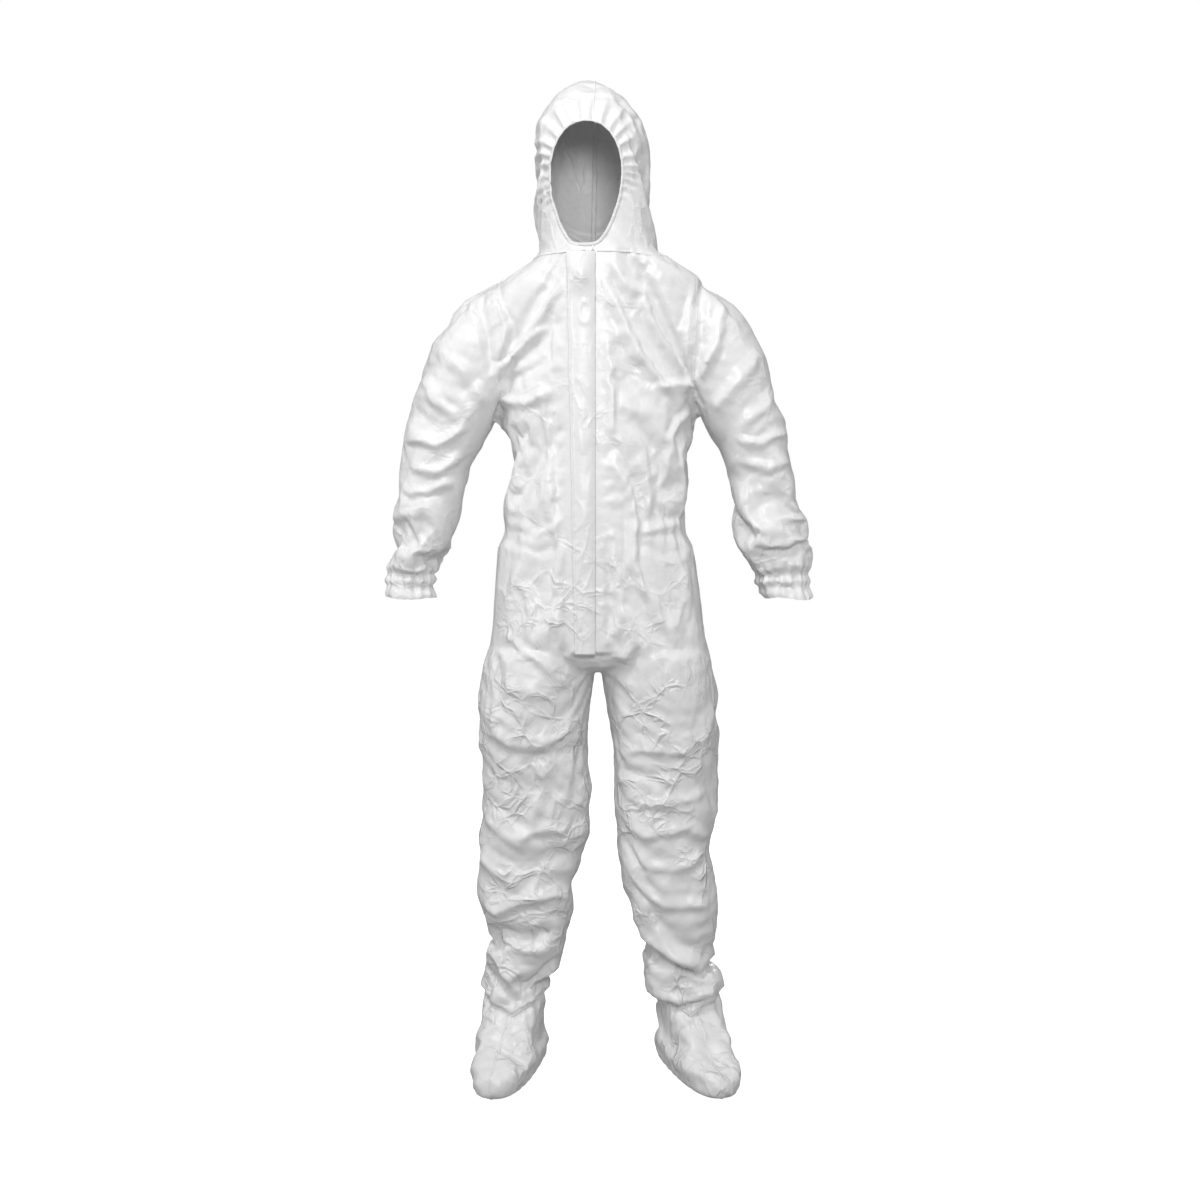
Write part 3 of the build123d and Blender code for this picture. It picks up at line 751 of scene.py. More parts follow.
def part_of(p):
    """The name of the piece that a point of the uncrumpled suit belongs to."""
    x, y, z = p
    side = 1 if x > 0 else -1
    name = SIDE_NAME[side]
    if z > NECK:
        return "left_hood" if x > HOOD_SEAM else "right_hood"
    if in_sleeve(x, z):
        if z < CUFF_SEAM:
            return f"{name}_cuff_cloth"
        below = (abs(x) - ELBOW_SEAM[0]) * ELBOW_ACROSS[0] - (z - ELBOW_SEAM[1]) * ELBOW_ACROSS[1]
        return f"{name}_sleeve_lower" if below > 0 else f"{name}_sleeve_upper"
    if z > HIP_SEAM:
        if y > 0:
            return f"{name}_back"
        if abs(x - ZIP_X) < SLOT_HALF and z > ZIP_LOW:
            return "under_zip"
        return "left_front" if x > ZIP_X else "right_front"
    if z > MID_THIGH:
        return f"{name}_leg_upper"
    if z > ankle_height(x, side):
        return f"{name}_leg_lower"
    boot_x, turn = BOOTS[side]
    outward = ((x - boot_x) * math.cos(turn) + y * math.sin(turn)) * side
    return f"{name}_boot_outer" if outward > 0 else f"{name}_boot_inner"


CUTS = [
    # which points, a point on the plane, the plane's direction
    (lambda p: abs(p.x) < 0.135 and abs(p.z - NECK) < 0.02, (0, 0, NECK), (0, 0, 1)),
    (lambda p: p.z > NECK, (HOOD_SEAM, 0, 0), (1, 0, 0)),
    (lambda p: p.y > 0 and HIP_SEAM - 0.02 < p.z < NECK, (0, 0, 0), (1, 0, 0)),
    (lambda p: HIP_SEAM - 0.02 < p.z < NECK and not in_sleeve(p.x, p.z), (0, 0, 0), (0, 1, 0)),
    (lambda p: abs(p.x) < 0.25 and abs(p.z - HIP_SEAM) < 0.02, (0, 0, HIP_SEAM), (0, 0, 1)),
    (lambda p: abs(p.x) < 0.25 and abs(p.z - MID_THIGH) < 0.02, (0, 0, MID_THIGH), (0, 0, 1)),
    (lambda p: p.z < HIP_SEAM and abs(p.x) < 0.03, (0, 0, 0), (1, 0, 0)),
    (lambda p: p.y < 0 and p.z < ZIP_LOW + 0.01 and p.z > HIP_SEAM, (ZIP_X, 0, 0), (1, 0, 0)),
    (lambda p: p.y < 0 and ZIP_LOW < p.z < NECK, (ZIP_X - SLOT_HALF, 0, 0), (1, 0, 0)),
    (lambda p: p.y < 0 and ZIP_LOW < p.z < NECK, (ZIP_X + SLOT_HALF, 0, 0), (1, 0, 0)),
    (lambda p: p.y < 0 and abs(p.x - ZIP_X) < 0.02 and abs(p.z - ZIP_LOW) < 0.02, (0, 0, ZIP_LOW), (0, 0, 1)),
]
for side, (boot_x, turn) in BOOTS.items():
    CUTS += [
        (lambda p, s=side: p.x * s > 0.15 and p.z > 1.18, (side * ARMHOLE, 0, 0), (1, 0, 0)),
        (lambda p, s=side: p.x * s > 0.20 and 1.08 < p.z < 1.26,
         (side * ELBOW_SEAM[0], 0, ELBOW_SEAM[1]), (side * ELBOW_ACROSS[0], 0, -ELBOW_ACROSS[1])),
        (lambda p, s=side: p.x * s > 0.27 and abs(p.z - CUFF_SEAM) < 0.02, (0, 0, CUFF_SEAM), (0, 0, 1)),
        (lambda p, s=side, b=boot_x: p.x * s > 0 and p.x > b - 0.002 and p.z < 0.2,
         (boot_x, 0, ANKLE_LOW), (-ANKLE_RISE, 0, 1)),
        (lambda p, s=side, b=boot_x: p.x * s > 0 and p.x < b + 0.002 and p.z < 0.2,
         (boot_x, 0, ANKLE_LOW), (ANKLE_RISE, 0, 1)),
        (lambda p, s=side: p.x * s > 0 and p.z < 0.17, (boot_x, 0, 0), (math.cos(turn), math.sin(turn), 0)),
    ]


def cut_pieces(obj, uncrumpled):
    """Cut along the seams as they lie on the uncrumpled suit, and number each face's piece."""
    mesh = obj.data
    mesh.attributes.new("late", "FLOAT_VECTOR", "POINT").data.foreach_set("vector", coordinates(mesh).ravel())
    set_coordinates(mesh, uncrumpled)
    bm = bmesh.new()
    bm.from_mesh(mesh)
    for chosen, point, across in CUTS:
        faces = [f for f in bm.faces if chosen(f.calc_center_median())]
        bmesh.ops.bisect_plane(bm, geom=with_corners(faces), plane_co=point,
                               plane_no=Vector(across).normalized(), dist=0.0007)
    number = bm.faces.layers.int.new("part")
    for f in bm.faces:
        f[number] = NUMBER[part_of(f.calc_center_median())]
    late = bm.verts.layers.float_vector["late"]
    flat = bm.verts.layers.float_vector.new("flat")
    for v in bm.verts:
        v[flat] = v.co
        v.co = v[late]
    bmesh.ops.delete(bm, geom=[f for f in bm.faces if f[number] == NUMBER["under_zip"]], context="FACES")
    bm.to_mesh(mesh)
    bm.free()


cut_pieces(suit, base)
sub = suit.modifiers.new("subdivide", "SUBSURF")
sub.levels = sub.render_levels = 1
evaluated(suit)
fine = coordinates(suit.data)
flat = np.empty(fine.size)
suit.data.attributes["flat"].data.foreach_get("vector", flat)
flat = flat.reshape(-1, 3)
out = normals(suit.data)
smooth_front = (fine[:, 1] < 0) & (np.abs(fine[:, 0] - FLAP_MIDDLE) < 0.032) & (fine[:, 2] > 0.765)
amount = np.where(smooth_front & (fine[:, 2] < NECK + 0.01), 0, 1) * ease((fine[:, 2] - 0.006) / 0.02)
lower = 1 - 0.55 * ease((fine[:, 2] - 0.72) / 0.12)
small = 0.0010 * lower * facets(fine, [(22, 14, 30), (-26, 12, 24), (10, -18, 34)], 211)
angle = np.arctan2(fine[:, 2] - FACE_MIDDLE, fine[:, 0] - FACE_X)
off = np.hypot(fine[:, 0] - FACE_X, fine[:, 2] - FACE_MIDDLE) - egg_radius(angle)
around_face = (fine[:, 1] < 0) & (fine[:, 2] > 1.52)
pleat = 1 - 2 * np.abs(np.sin(15 * angle + 0.8 * np.sin(3 * angle + 1) + 0.5 * np.sin(7 * angle)))
reach = 0.030 + 0.022 * np.clip(np.sin(angle), -0.4, 1) + 0.010 * np.sin(5 * angle + 2)
deep = np.clip(1.15 - np.clip(off, 0, 1) / reach, 0, 1) * ease((fine[:, 2] - 1.53) / 0.04)
high = 0.0038 * (1 + 0.6 * np.clip(np.sin(angle), 0, 1))
small += np.where(around_face, high * pleat * deep * ease(0.45 + off / 0.012), 0)
boots = ease((0.13 - fine[:, 2]) / 0.03)
small += 0.0022 * boots * facets(fine, [(26, 10, 8), (-20, 12, 14), (8, 22, 16)], 241)
for side, (boot_x, turn) in BOOTS.items():
    over = flat[:, 2] - ANKLE_LOW - ANKLE_RISE * np.abs(flat[:, 0] - boot_x)
    ankle = (flat[:, 0] * side > 0) & (flat[:, 2] < 0.26)
    ledge = 0.0075 * np.clip(1 - over / 0.036, 0, 1) * np.clip(over / 0.004, 0, 1)
    ledge = np.where(over > 0, ledge, -0.0028 * near(over, -0.006, 0.008))
    small += np.where(ankle, ledge, 0)
for side in (-1, 1):
    arm = (fine[:, 0] * side > 0.24) & (fine[:, 2] < 0.99)
    turn = np.arctan2(fine[:, 1], fine[:, 0] - side * 0.341)
    pleat = 1 - 2 * np.abs(np.sin(9 * turn + 0.9 * np.sin(3 * turn + side) + 18 * (fine[:, 2] - 0.9)))
    uneven = 0.35 + 0.65 * ease(0.5 + 1.6 * wobble(fine, 22, 61 * side, 1))
    small += np.where(arm, 0.0036 * uneven * pleat * near(fine[:, 2], 0.893, 0.045), 0)
    hem = np.where(arm, near(fine[:, 2], CUFF_END, 0.030), 0)
    fine[:, 2] += 0.005 * hem * wobble(fine, 26, 71 * side, 1)
set_coordinates(suit.data, fine + out * (small * amount)[:, None])
POINTS = coordinates(suit.data)
NORMALS = normals(suit.data)
count = len(suit.data.polygons)
CORNERS = np.empty(count * 4, int)
suit.data.loops.foreach_get("vertex_index", CORNERS)
CORNERS = CORNERS.reshape(-1, 4)
PART = np.empty(count, int)
suit.data.attributes["part"].data.foreach_get("value", PART)


# ---------------------------------------------------------------- materials
def new_material(name):
    m = bpy.data.materials.new(name)
    m.use_nodes = True
    tree = m.node_tree
    return m, tree, tree.nodes["Principled BSDF"], tree.nodes.new("ShaderNodeTexCoord").outputs["Object"]


def add_node(tree, kind, *ordered, **named):
    """A new node.  Its inputs come in order or by name, with _ for a space, and take values or other
    nodes' outputs.  Names in lower case are its settings."""
    made = tree.nodes.new(kind)
    for name, value in named.items():
        if name.islower():
            setattr(made, name, value)
    inputs = list(zip(made.inputs, ordered))
    inputs += [(made.inputs[k.replace("_", " ")], v) for k, v in named.items() if not k.islower()]
    for socket, value in inputs:
        if isinstance(value, bpy.types.NodeSocket):
            tree.links.new(value, socket)
        else:
            socket.default_value = value
    return made


def laminate(name, tint=(0.855, 0.855, 0.857)):
    """White film: faint mottling, uneven gloss, and fine creases that are stronger on the legs."""
    m, t, shader, place = new_material(name)

    def noise_node(scale, detail=4, rough=0.6):
        return add_node(t, "ShaderNodeTexNoise", Vector=place, Scale=scale, Detail=detail, Roughness=rough)

    def spread(value, **ends):
        return add_node(t, "ShaderNodeMapRange", Value=value, **ends).outputs["Result"]

    def product(first, second):
        return add_node(t, "ShaderNodeMath", first, second, operation="MULTIPLY").outputs[0]

    mottle = noise_node(95, 5, 0.65).outputs["Fac"]
    fibre = noise_node(620, 2, 0.5).outputs["Fac"]
    bent = add_node(t, "ShaderNodeVectorMath", noise_node(9, 2).outputs["Color"], (0.09, 0.09, 0.09), place,
                    operation="MULTIPLY_ADD")
    cells = add_node(t, "ShaderNodeTexVoronoi", feature="DISTANCE_TO_EDGE", Vector=bent.outputs[0],
                     Scale=17, Detail=1.6, Roughness=0.6)
    ridge = spread(cells.outputs["Distance"], From_Max=0.085, To_Min=1.0, To_Max=0.0)
    comes_and_goes = spread(noise_node(11, 1).outputs["Fac"], From_Min=0.43, From_Max=0.60)
    height = add_node(t, "ShaderNodeSeparateXYZ", place).outputs["Z"]
    on_the_legs = spread(height, From_Min=0.62, From_Max=1.0, To_Min=1.0, To_Max=0.30)
    creases = product(product(ridge, comes_and_goes), on_the_legs)

    shade = spread(mottle, From_Min=0.35, From_Max=0.62)
    colour = add_node(t, "ShaderNodeMixRGB", shade, (*[v * 0.955 for v in tint], 1), (*tint, 1))
    t.links.new(colour.outputs[0], shader.inputs["Base Color"])
    gloss = spread(noise_node(7, 3).outputs["Fac"], To_Min=0.26, To_Max=0.44)
    t.links.new(gloss, shader.inputs["Roughness"])
    shader.inputs["Specular IOR Level"].default_value = 0.5
    shader.inputs["Subsurface Weight"].default_value = 0.0

    relief = {}
    for source, strength, distance in ((creases, 0.9, 0.0034), (mottle, 0.45, 0.0012), (fibre, 0.25, 0.0003)):
        bump = add_node(t, "ShaderNodeBump", Height=source, Strength=strength, Distance=distance, **relief)
        relief = {"Normal": bump.outputs["Normal"]}
    t.links.new(relief["Normal"], shader.inputs["Normal"])
    return m


def grained(name, colour, texture, low, rough, strength, distance):
    """A plain material whose colour and relief follow a texture.  texture: the node's kind and its
    values; low: the darker colour's share."""
    m, t, shader, place = new_material(name)
    kind, values = texture
    fac = add_node(t, kind, Vector=place, **values).outputs["Fac"]
    mix = add_node(t, "ShaderNodeMixRGB", fac, (*[c * low for c in colour], 1), (*colour, 1))
    t.links.new(mix.outputs[0], shader.inputs["Base Color"])
    shader.inputs["Roughness"].default_value = rough
    shader.inputs["Metallic"].default_value = 0.0
    bump = add_node(t, "ShaderNodeBump", Height=fac, Strength=strength, Distance=distance)
    t.links.new(bump.outputs["Normal"], shader.inputs["Normal"])
    return m


def woven(name, colour, scale, ribs="Z"):
    """Knitted elastic or woven tape: fine ribs with a little noise."""
    wave = "ShaderNodeTexWave", {"bands_direction": ribs, "Scale": scale, "Distortion": 0.6}
    return grained(name, colour, wave, 0.9, 0.7, 0.5, 0.0004)


def moulded(name, colour, rough):
    """Plastic, enamel or paper with a very fine grain."""
    return grained(name, colour, ("ShaderNodeTexNoise", {"Scale": 400}), 0.94, rough, 0.2, 0.0002)


WHITE = laminate("white_laminate")
ELASTIC = woven("knitted_elastic", (0.86, 0.86, 0.87), 420)
TAPE = woven("zip_tape_weave", (0.84, 0.84, 0.85), 500, ribs="DIAGONAL")
NYLON = moulded("zip_nylon", (0.85, 0.85, 0.85), 0.35)
ENAMEL = moulded("white_enamel", (0.82, 0.82, 0.82), 0.25)
THREAD = woven("sewing_thread", (0.80, 0.80, 0.80), 900)
LINER = moulded("release_liner", (0.86, 0.84, 0.78), 0.45)


# ---------------------------------------------------------------- fabric pieces
CLOTH = 0.0005
HOOD_BEND = ("trunk", "hood", (0, FRONT, NECK - 0.018), (0, FRONT - 0.0242, NECK + 0.079))


def shell(name, thickness=CLOTH):
    """One piece of the suit as a closed sheet with both of its faces."""
    quads = CORNERS[PART == NUMBER[name]]
    used, local = np.unique(quads, return_inverse=True)
    quads = local.reshape(-1, 4)
    points, out = POINTS[used], NORMALS[used]
    n = len(points)
    heads = quads.ravel()
    tails = np.roll(quads, -1, axis=1).ravel()
    there = set(zip(heads.tolist(), tails.tolist()))
    rim = [(b, a, a + n, b + n) for a, b in there if (b, a) not in there]
    rim.sort()
    faces = quads.tolist() + (quads[:, ::-1] + n).tolist() + rim
    obj = shaded_smooth(new_mesh_object(name, np.vstack([points, points - out * thickness]), faces))
    obj.data.normals_split_custom_set_from_vertices(np.vstack([out, -out]).tolist())
    return obj


def attach(obj, hold):
    """hold is a body's name, or a blend: two bodies, start and end."""
    if isinstance(hold, str):
        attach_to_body(obj, hold)
    else:
        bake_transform(obj)
    return obj


def finished(obj, material, hold, slot, *nodes):
    obj.data.materials.clear()
    obj.data.materials.append(material)
    attach(obj, hold)
    if nodes:
        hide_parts(*nodes)
    return obj


def shoulder_bend(side):
    at = Vector((side * ARMHOLE, 0, 1.217))
    way = Vector((side * 0.8, 0, -0.6))
    return "trunk", f"{SIDE_NAME[side]}_upper_arm", tuple(at + way * 0.006), tuple(at + way * 0.076)


def elbow_bend(side):
    at = Vector((side * ELBOW[0], 0, ELBOW[1]))
    way = Vector((side * 0.3, 0, -0.954))
    name = SIDE_NAME[side]
    return f"{name}_upper_arm", f"{name}_forearm", tuple(at - way * 0.036), tuple(at + way * 0.052)


def hip_bend(side):
    return "trunk", f"{SIDE_NAME[side]}_thigh", (0, 0, 0.738), (0, 0, 0.640)


def knee_bend(side):
    name = SIDE_NAME[side]
    return f"{name}_thigh", f"{name}_shin", (0, 0, 0.525), (0, 0, 0.415)


def panels():
    """Every fabric panel: name, body or blend, the nodes it stands for, cut width, length and area."""
    rows = [
        ("left_front", "trunk", ["left_front_panel"], 0.30, 0.76, 0.185),
        ("right_front", "trunk", ["right_front_panel"], 0.30, 0.76, 0.165),
        ("left_back", "trunk", ["left_back_panel"], 0.30, 0.76, 0.185),
        ("right_back", "trunk", ["right_back_panel"], 0.30, 0.76, 0.185),
        ("left_hood", HOOD_BEND, ["left_hood_panel", "nape_section"], 0.30, 0.42, 0.105),
        ("right_hood", HOOD_BEND, ["right_hood_panel"], 0.30, 0.42, 0.100),
    ]
    for side, name in SIDE_NAME.items():
        rows += [
            (f"{name}_sleeve_upper", shoulder_bend(side), [f"{name}_sleeve_head", f"{name}_upper_sleeve"],
             0.56, 0.28, 0.110),
            (f"{name}_sleeve_lower", elbow_bend(side), [f"{name}_elbow_section", f"{name}_forearm_sleeve"],
             0.42, 0.26, 0.105),
            (f"{name}_cuff_cloth", f"{name}_forearm", [f"{name}_cuff"], 0.36, 0.07, 0.022),
            (f"{name}_leg_upper", hip_bend(side), [f"{name}_hip_section", f"{name}_thigh_section"],
             0.70, 0.20, 0.120),
            (f"{name}_leg_lower", knee_bend(side), [f"{name}_knee_section", f"{name}_shin_section"],
             0.62, 0.50, 0.290),
            (f"{name}_boot_outer", f"{name}_shin", [f"{name}_boot_outer_half"], 0.20, 0.34, 0.052),
            (f"{name}_boot_inner", f"{name}_shin", [f"{name}_boot_inner_half"], 0.20, 0.34, 0.052),
        ]
    return rows


HOLD = {}
for name, hold, nodes, wide, long, area in panels():
    piece = shell(name)
    slot = "boot_laminate" if "boot" in name else "laminate"
    finished(piece, WHITE, hold, slot, *nodes)
    HOLD[name] = hold


# ---------------------------------------------------------------- sweeps along the seams and hems
def chained(edges):
    """Lists of points in a row, from unordered edges."""
    beside = {}
    for a, b in edges:
        beside.setdefault(a, []).append(b)
        beside.setdefault(b, []).append(a)
    left = set(beside)
    runs = []
    while left:
        ends = [v for v in left if len(beside[v]) != 2]
        run = [min(ends) if ends else min(left)]
        left.discard(run[0])
        while True:
            onward = [v for v in beside[run[-1]] if v in left]
            if not onward:
                break
            run.append(min(onward))
            left.discard(run[-1])
        if len(run) > 2:
            runs.append((run, run[0] in beside[run[-1]]))
    return runs


def edge_owners():
    """For each edge of the suit, the numbers of the pieces beside it."""
    owner = {}
    for part, quad in zip(PART.tolist(), CORNERS.tolist()):
        for a, b in zip(quad, quad[1:] + quad[:1]):
            owner.setdefault((min(a, b), max(a, b)), []).append(part)
    return owner


OWNER = edge_owners()
BORDER = {edge: tuple(sorted(set(parts))) for edge, parts in OWNER.items()
          if len(parts) == 1 or len(set(parts)) > 1}


def seam_runs(first, second=None):
    """The suit's seam between two groups of pieces, or the free edge of one group, as runs of points."""
    one = {NUMBER[n] for n in first}
    if second is None:
        edges = [e for e, p in BORDER.items() if len(p) == 1 and p[0] in one]
    else:
        two = {NUMBER[n] for n in second}
        edges = [e for e, p in BORDER.items() if len(p) == 2
                 and ((p[0] in one and p[1] in two) or (p[1] in one and p[0] in two))]
    return chained(edges)


def eased_line(line, closed, times):
    for _ in range(times):
        ahead, behind = np.roll(line, -1, axis=0), np.roll(line, 1, axis=0)
        if not closed:
            ahead[-1], behind[0] = line[-1], line[0]
        line = line * 0.5 + (ahead + behind) * 0.25
    return line


def even_line(line, facing, closed, step):
    """Points spaced evenly along a line, with their normals."""
    if closed:
        line, facing = np.vstack([line, line[:1]]), np.vstack([facing, facing[:1]])
    run = np.concatenate([[0], np.cumsum(np.linalg.norm(np.diff(line, axis=0), axis=1))])
    count = max(4, int(run[-1] / step))
    at = np.linspace(0, run[-1], count, endpoint=not closed)
    pick = [np.stack([np.interp(at, run, arr[:, k]) for k in range(3)], 1) for arr in (line, facing)]
    pick[1] /= np.linalg.norm(pick[1], axis=1)[:, None]
    return pick[0], pick[1], at


def swept(line, facing, closed, section, scale=None):
    """A closed skin with a section (across, out) swept along a line of points with normals."""
    ahead = np.roll(line, -1, axis=0) - np.roll(line, 1, axis=0)
    if not closed:
        ahead[0], ahead[-1] = line[1] - line[0], line[-1] - line[-2]
    ahead /= np.linalg.norm(ahead, axis=1)[:, None]
    across = np.cross(ahead, facing)
    across /= np.linalg.norm(across, axis=1)[:, None]
    out = np.cross(across, ahead)
    section = np.array(section)
    scale = np.ones(len(line)) if scale is None else scale
    rings = (line[:, None] + across[:, None] * section[None, :, :1]
             + out[:, None] * section[None, :, 1:] * scale[:, None, None])
    m, count = len(section), len(line)
    faces = []
    for r in range(count if closed else count - 1):
        for k in range(m):
            a, b = r * m + k, r * m + (k + 1) % m
            c, d = ((r + 1) % count) * m + (k + 1) % m, ((r + 1) % count) * m + k
            faces.append((a, b, c, d))
    if not closed:
        faces.append(tuple(range(m - 1, -1, -1)))
        faces.append(tuple((count - 1) * m + k for k in range(m)))
    return rings.reshape(-1, 3), faces


def oval_section(wide, high, count=10, sink=0.0):
    turn = np.arange(count) * 2 * math.pi / count
    return np.stack([np.cos(turn) * wide / 2, np.sin(turn) * high / 2 + high / 2 - sink], 1)


def outward(obj):
    bm = bmesh.new()
    bm.from_mesh(obj.data)
    bmesh.ops.recalc_face_normals(bm, faces=bm.faces)
    bm.to_mesh(obj.data)
    bm.free()
    return obj


def mesh_piece(name, parts, material, hold, slot, *nodes):
    obj = shaded_smooth(new_mesh_object(name, *joined(parts)))
    return finished(outward(obj), material, hold, slot, *nodes)


def seam_welt(name, first, second, hold, slot="laminate", wide=0.0034, high=0.0011, inside=False):
    """A sewn seam: a narrow raised welt, drawn in at each stitch."""
    parts = []
    for run, closed in seam_runs(first, second):
        line = eased_line(POINTS[run], closed, 3)
        line, facing, at = even_line(line, NORMALS[run], closed, 0.0011)
        if inside:
            line, facing = line - facing * CLOTH, -facing
        puff = 1 + 0.28 * np.cos(at * 2 * math.pi / 0.0042)
        parts.append(swept(line, facing, closed, oval_section(wide, high, 8, 0.0003), puff))
    mesh_piece(name, parts, WHITE, hold, slot)


TRUNK_PARTS = ["left_front", "right_front", "left_back", "right_back"]
HOODS = ["left_hood", "right_hood"]
seam_welt("neck_seam", TRUNK_PARTS, HOODS, HOOD_BEND, wide=0.004, high=0.0016)
seam_welt("hood_seam", ["left_hood"], ["right_hood"], HOOD_BEND)
seam_welt("hood_seam_allowance", ["left_hood"], ["right_hood"], HOOD_BEND, wide=0.009, high=0.0022,
          inside=True)
seam_welt("back_seam", ["left_back"], ["right_back"], "trunk")
for side, name in SIDE_NAME.items():
    seam_welt(f"{name}_side_seam", [f"{name}_front"], [f"{name}_back"], "trunk")
    seam_welt(f"{name}_armhole_seam", [f"{name}_front", f"{name}_back"], [f"{name}_sleeve_upper"],
              shoulder_bend(side))
    seam_welt(f"{name}_ankle_seam", [f"{name}_leg_lower"], [f"{name}_boot_outer", f"{name}_boot_inner"],
              f"{name}_shin", "boot_laminate", wide=0.0042, high=0.0015)
    seam_welt(f"{name}_foot_seam", [f"{name}_boot_outer"], [f"{name}_boot_inner"], f"{name}_shin",
              "boot_laminate", wide=0.0036, high=0.0014)


# ---------------------------------------------------------------- elastics
def face_binding():
    """The elastic that binds the face opening, with its small gathers."""
    parts = []
    for run, closed in seam_runs(HOODS):
        line = POINTS[run]
        if line[:, 2].max() < FACE_Z1 - 0.02:
            continue
        line = eased_line(line, closed, 4)
        line, facing, at = even_line(line, NORMALS[run], closed, 0.0016)
        puff = 1 + 0.22 * np.cos(at * 2 * math.pi / 0.0068) + 0.10 * np.cos(at * 2 * math.pi / 0.017)
        parts.append(swept(line, facing, closed, oval_section(0.0066, 0.0034, 12, 0.0018), puff))
    return mesh_piece("face_binding", parts, ELASTIC, HOOD_BEND, "elastic", "face_elastic")


def band_line(middle, z, reach, part_names, first=0.0, last=360.0, count=120):
    """A level line round the inside or outside of some pieces at a height."""
    chosen = np.isin(PART, [NUMBER[n] for n in part_names])
    ids = np.unique(CORNERS[chosen])
    p, n = POINTS[ids], NORMALS[ids]
    close = np.abs(p[:, 2] - z) < reach
    p, n = p[close], n[close]
    turn = np.degrees(np.arctan2(p[:, 1] - middle[1], p[:, 0] - middle[0])) % 360
    radius = np.hypot(p[:, 0] - middle[0], p[:, 1] - middle[1])
    at = np.linspace(first, last, count, endpoint=last - first < 360)
    line, facing = [], []
    for a in at:
        apart = np.abs((turn - a + 180) % 360 - 180)
        weight = np.exp(-(apart / 7) ** 2)
        r = float((weight * radius).sum() / weight.sum())
        c, s = math.cos(math.radians(a)), math.sin(math.radians(a))
        line.append((middle[0] + c * r, middle[1] + s * r, z))
        facing.append((c, s, 0))
    return np.array(line), np.array(facing)


def band(name, middle, z, part_names, wide, thick, offset, hold, node, first=0.0, last=360.0):
    line, facing = band_line(middle, z, 0.005, part_names, first, last)
    closed = last - first >= 360
    line = line + facing * offset
    line[:, 2] += 0.0008 * np.sin(np.arange(len(line)) * 0.7)
    line, facing, at = even_line(line, facing, closed, 0.0015)
    puff = 1 + 0.25 * np.cos(at * 2 * math.pi / 0.009)
    return mesh_piece(name, [swept(line, facing, closed, oval_section(wide, thick, 12, thick / 2), puff)],
                      ELASTIC, hold, "elastic", node)


face_binding()
for side, name in SIDE_NAME.items():
    low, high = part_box(f"{name}_cuff_elastic_lower"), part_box(f"{name}_cuff_elastic_upper")
    middle = ((high[0].x + high[1].x) / 2, 0.0)
    for label, box in (("upper", high), ("lower", low)):
        band(f"{name}_cuff_band_{label}", middle, (box[0].z + box[1].z) / 2, [f"{name}_cuff_cloth"],
             0.0062, 0.0020, -0.0034, f"{name}_forearm", f"{name}_cuff_elastic_{label}")
waist_z = (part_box("waist_elastic")[0].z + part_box("waist_elastic")[1].z) / 2
band("waist_band", (0, 0.01), waist_z, ["left_back", "right_back"], 0.010, 0.0014, -0.0042, "trunk",
     "waist_elastic", 8, 172)


# ---------------------------------------------------------------- storm flap
FLAP_THICK = 0.0011
FLAP_BEND = ("trunk", "storm_flap", (FLAP_SEAM - 0.001, FRONT, 1.1), (FLAP_SEAM - 0.011, FRONT, 1.1))


def flap_arch(u):
    """How far the flap's inside stands out of the seam's line, from the sewn edge (0) to the free one (1)."""
    return 0.0054 * math.sin(math.pi * min(max(u, 0), 1)) ** 0.8


def over_pull(u, z):
    """The flap's swelling over the slider's pull."""
    return 0.0098 * math.sin(math.pi * min(max(u, 0), 1)) * math.exp(-((z - 1.434) / 0.026) ** 2)


def flap_point(u, v, rise=0.0):
    """A point of the flap: u across from the sewn edge, v up from the folded bottom."""
    z = FLAP_LOW + 0.001 + v * (NECK - 0.004 - FLAP_LOW)
    free = FLAP_FREE - 0.002 + 0.014 * (1 - v) + 0.0012 * noise.noise(Vector((7.7, z * 13, 3)))
    x = FLAP_SEAM + (free - FLAP_SEAM) * u
    p = Vector((x * 14, z * 9, 4.2))
    swell = 0.0026 * max(0, noise.fractal(p, 0.8, 2.0, 3) + 0.3) * math.sin(math.pi * min(u + 0.12, 1))
    swell += 0.0014 * max(0, 1 - 7 * abs(noise.noise(Vector((x * 30, z * 16, 8.8))))) * math.sin(math.pi * u)
    edge = (0.0018 + 0.0014 * max(0, noise.noise(Vector((1.5, z * 16, 9))))) * u ** 4
    hem = 0.0008 * min(max((u - 0.84) / 0.03, 0), 1)
    return Vector((x, FRONT_CLOTH - 0.0007 - flap_arch(u) - over_pull(u, z) - swell - edge - hem - rise, z))


def flap_sheet(u0, u1, v0, v1, thick, rise, across, along):
    outer = [[flap_point(u0 + (u1 - u0) * i / across, v0 + (v1 - v0) * k / along, rise + thick)
              for i in range(across + 1)] for k in range(along + 1)]
    inner = [[p + Vector((0, thick, 0)) for p in row] for row in outer]
    verts = [p for row in outer for p in row] + [p for row in inner for p in row]
    wide = across + 1
    n = wide * (along + 1)
    faces = []
    for k in range(along):
        for i in range(across):
            a = k * wide + i
            faces += [(a, a + 1, a + 1 + wide, a + wide), (a + n, a + wide + n, a + 1 + wide + n, a + 1 + n)]
    border = ([(k * wide, (k + 1) * wide) for k in range(along)]
              + [((k + 1) * wide + across, k * wide + across) for k in range(along)]
              + [(i + 1, i) for i in range(across)]
              + [(along * wide + i, along * wide + i + 1) for i in range(across)])
    faces += [(a, b, b + n, a + n) for a, b in border]
    return verts, faces


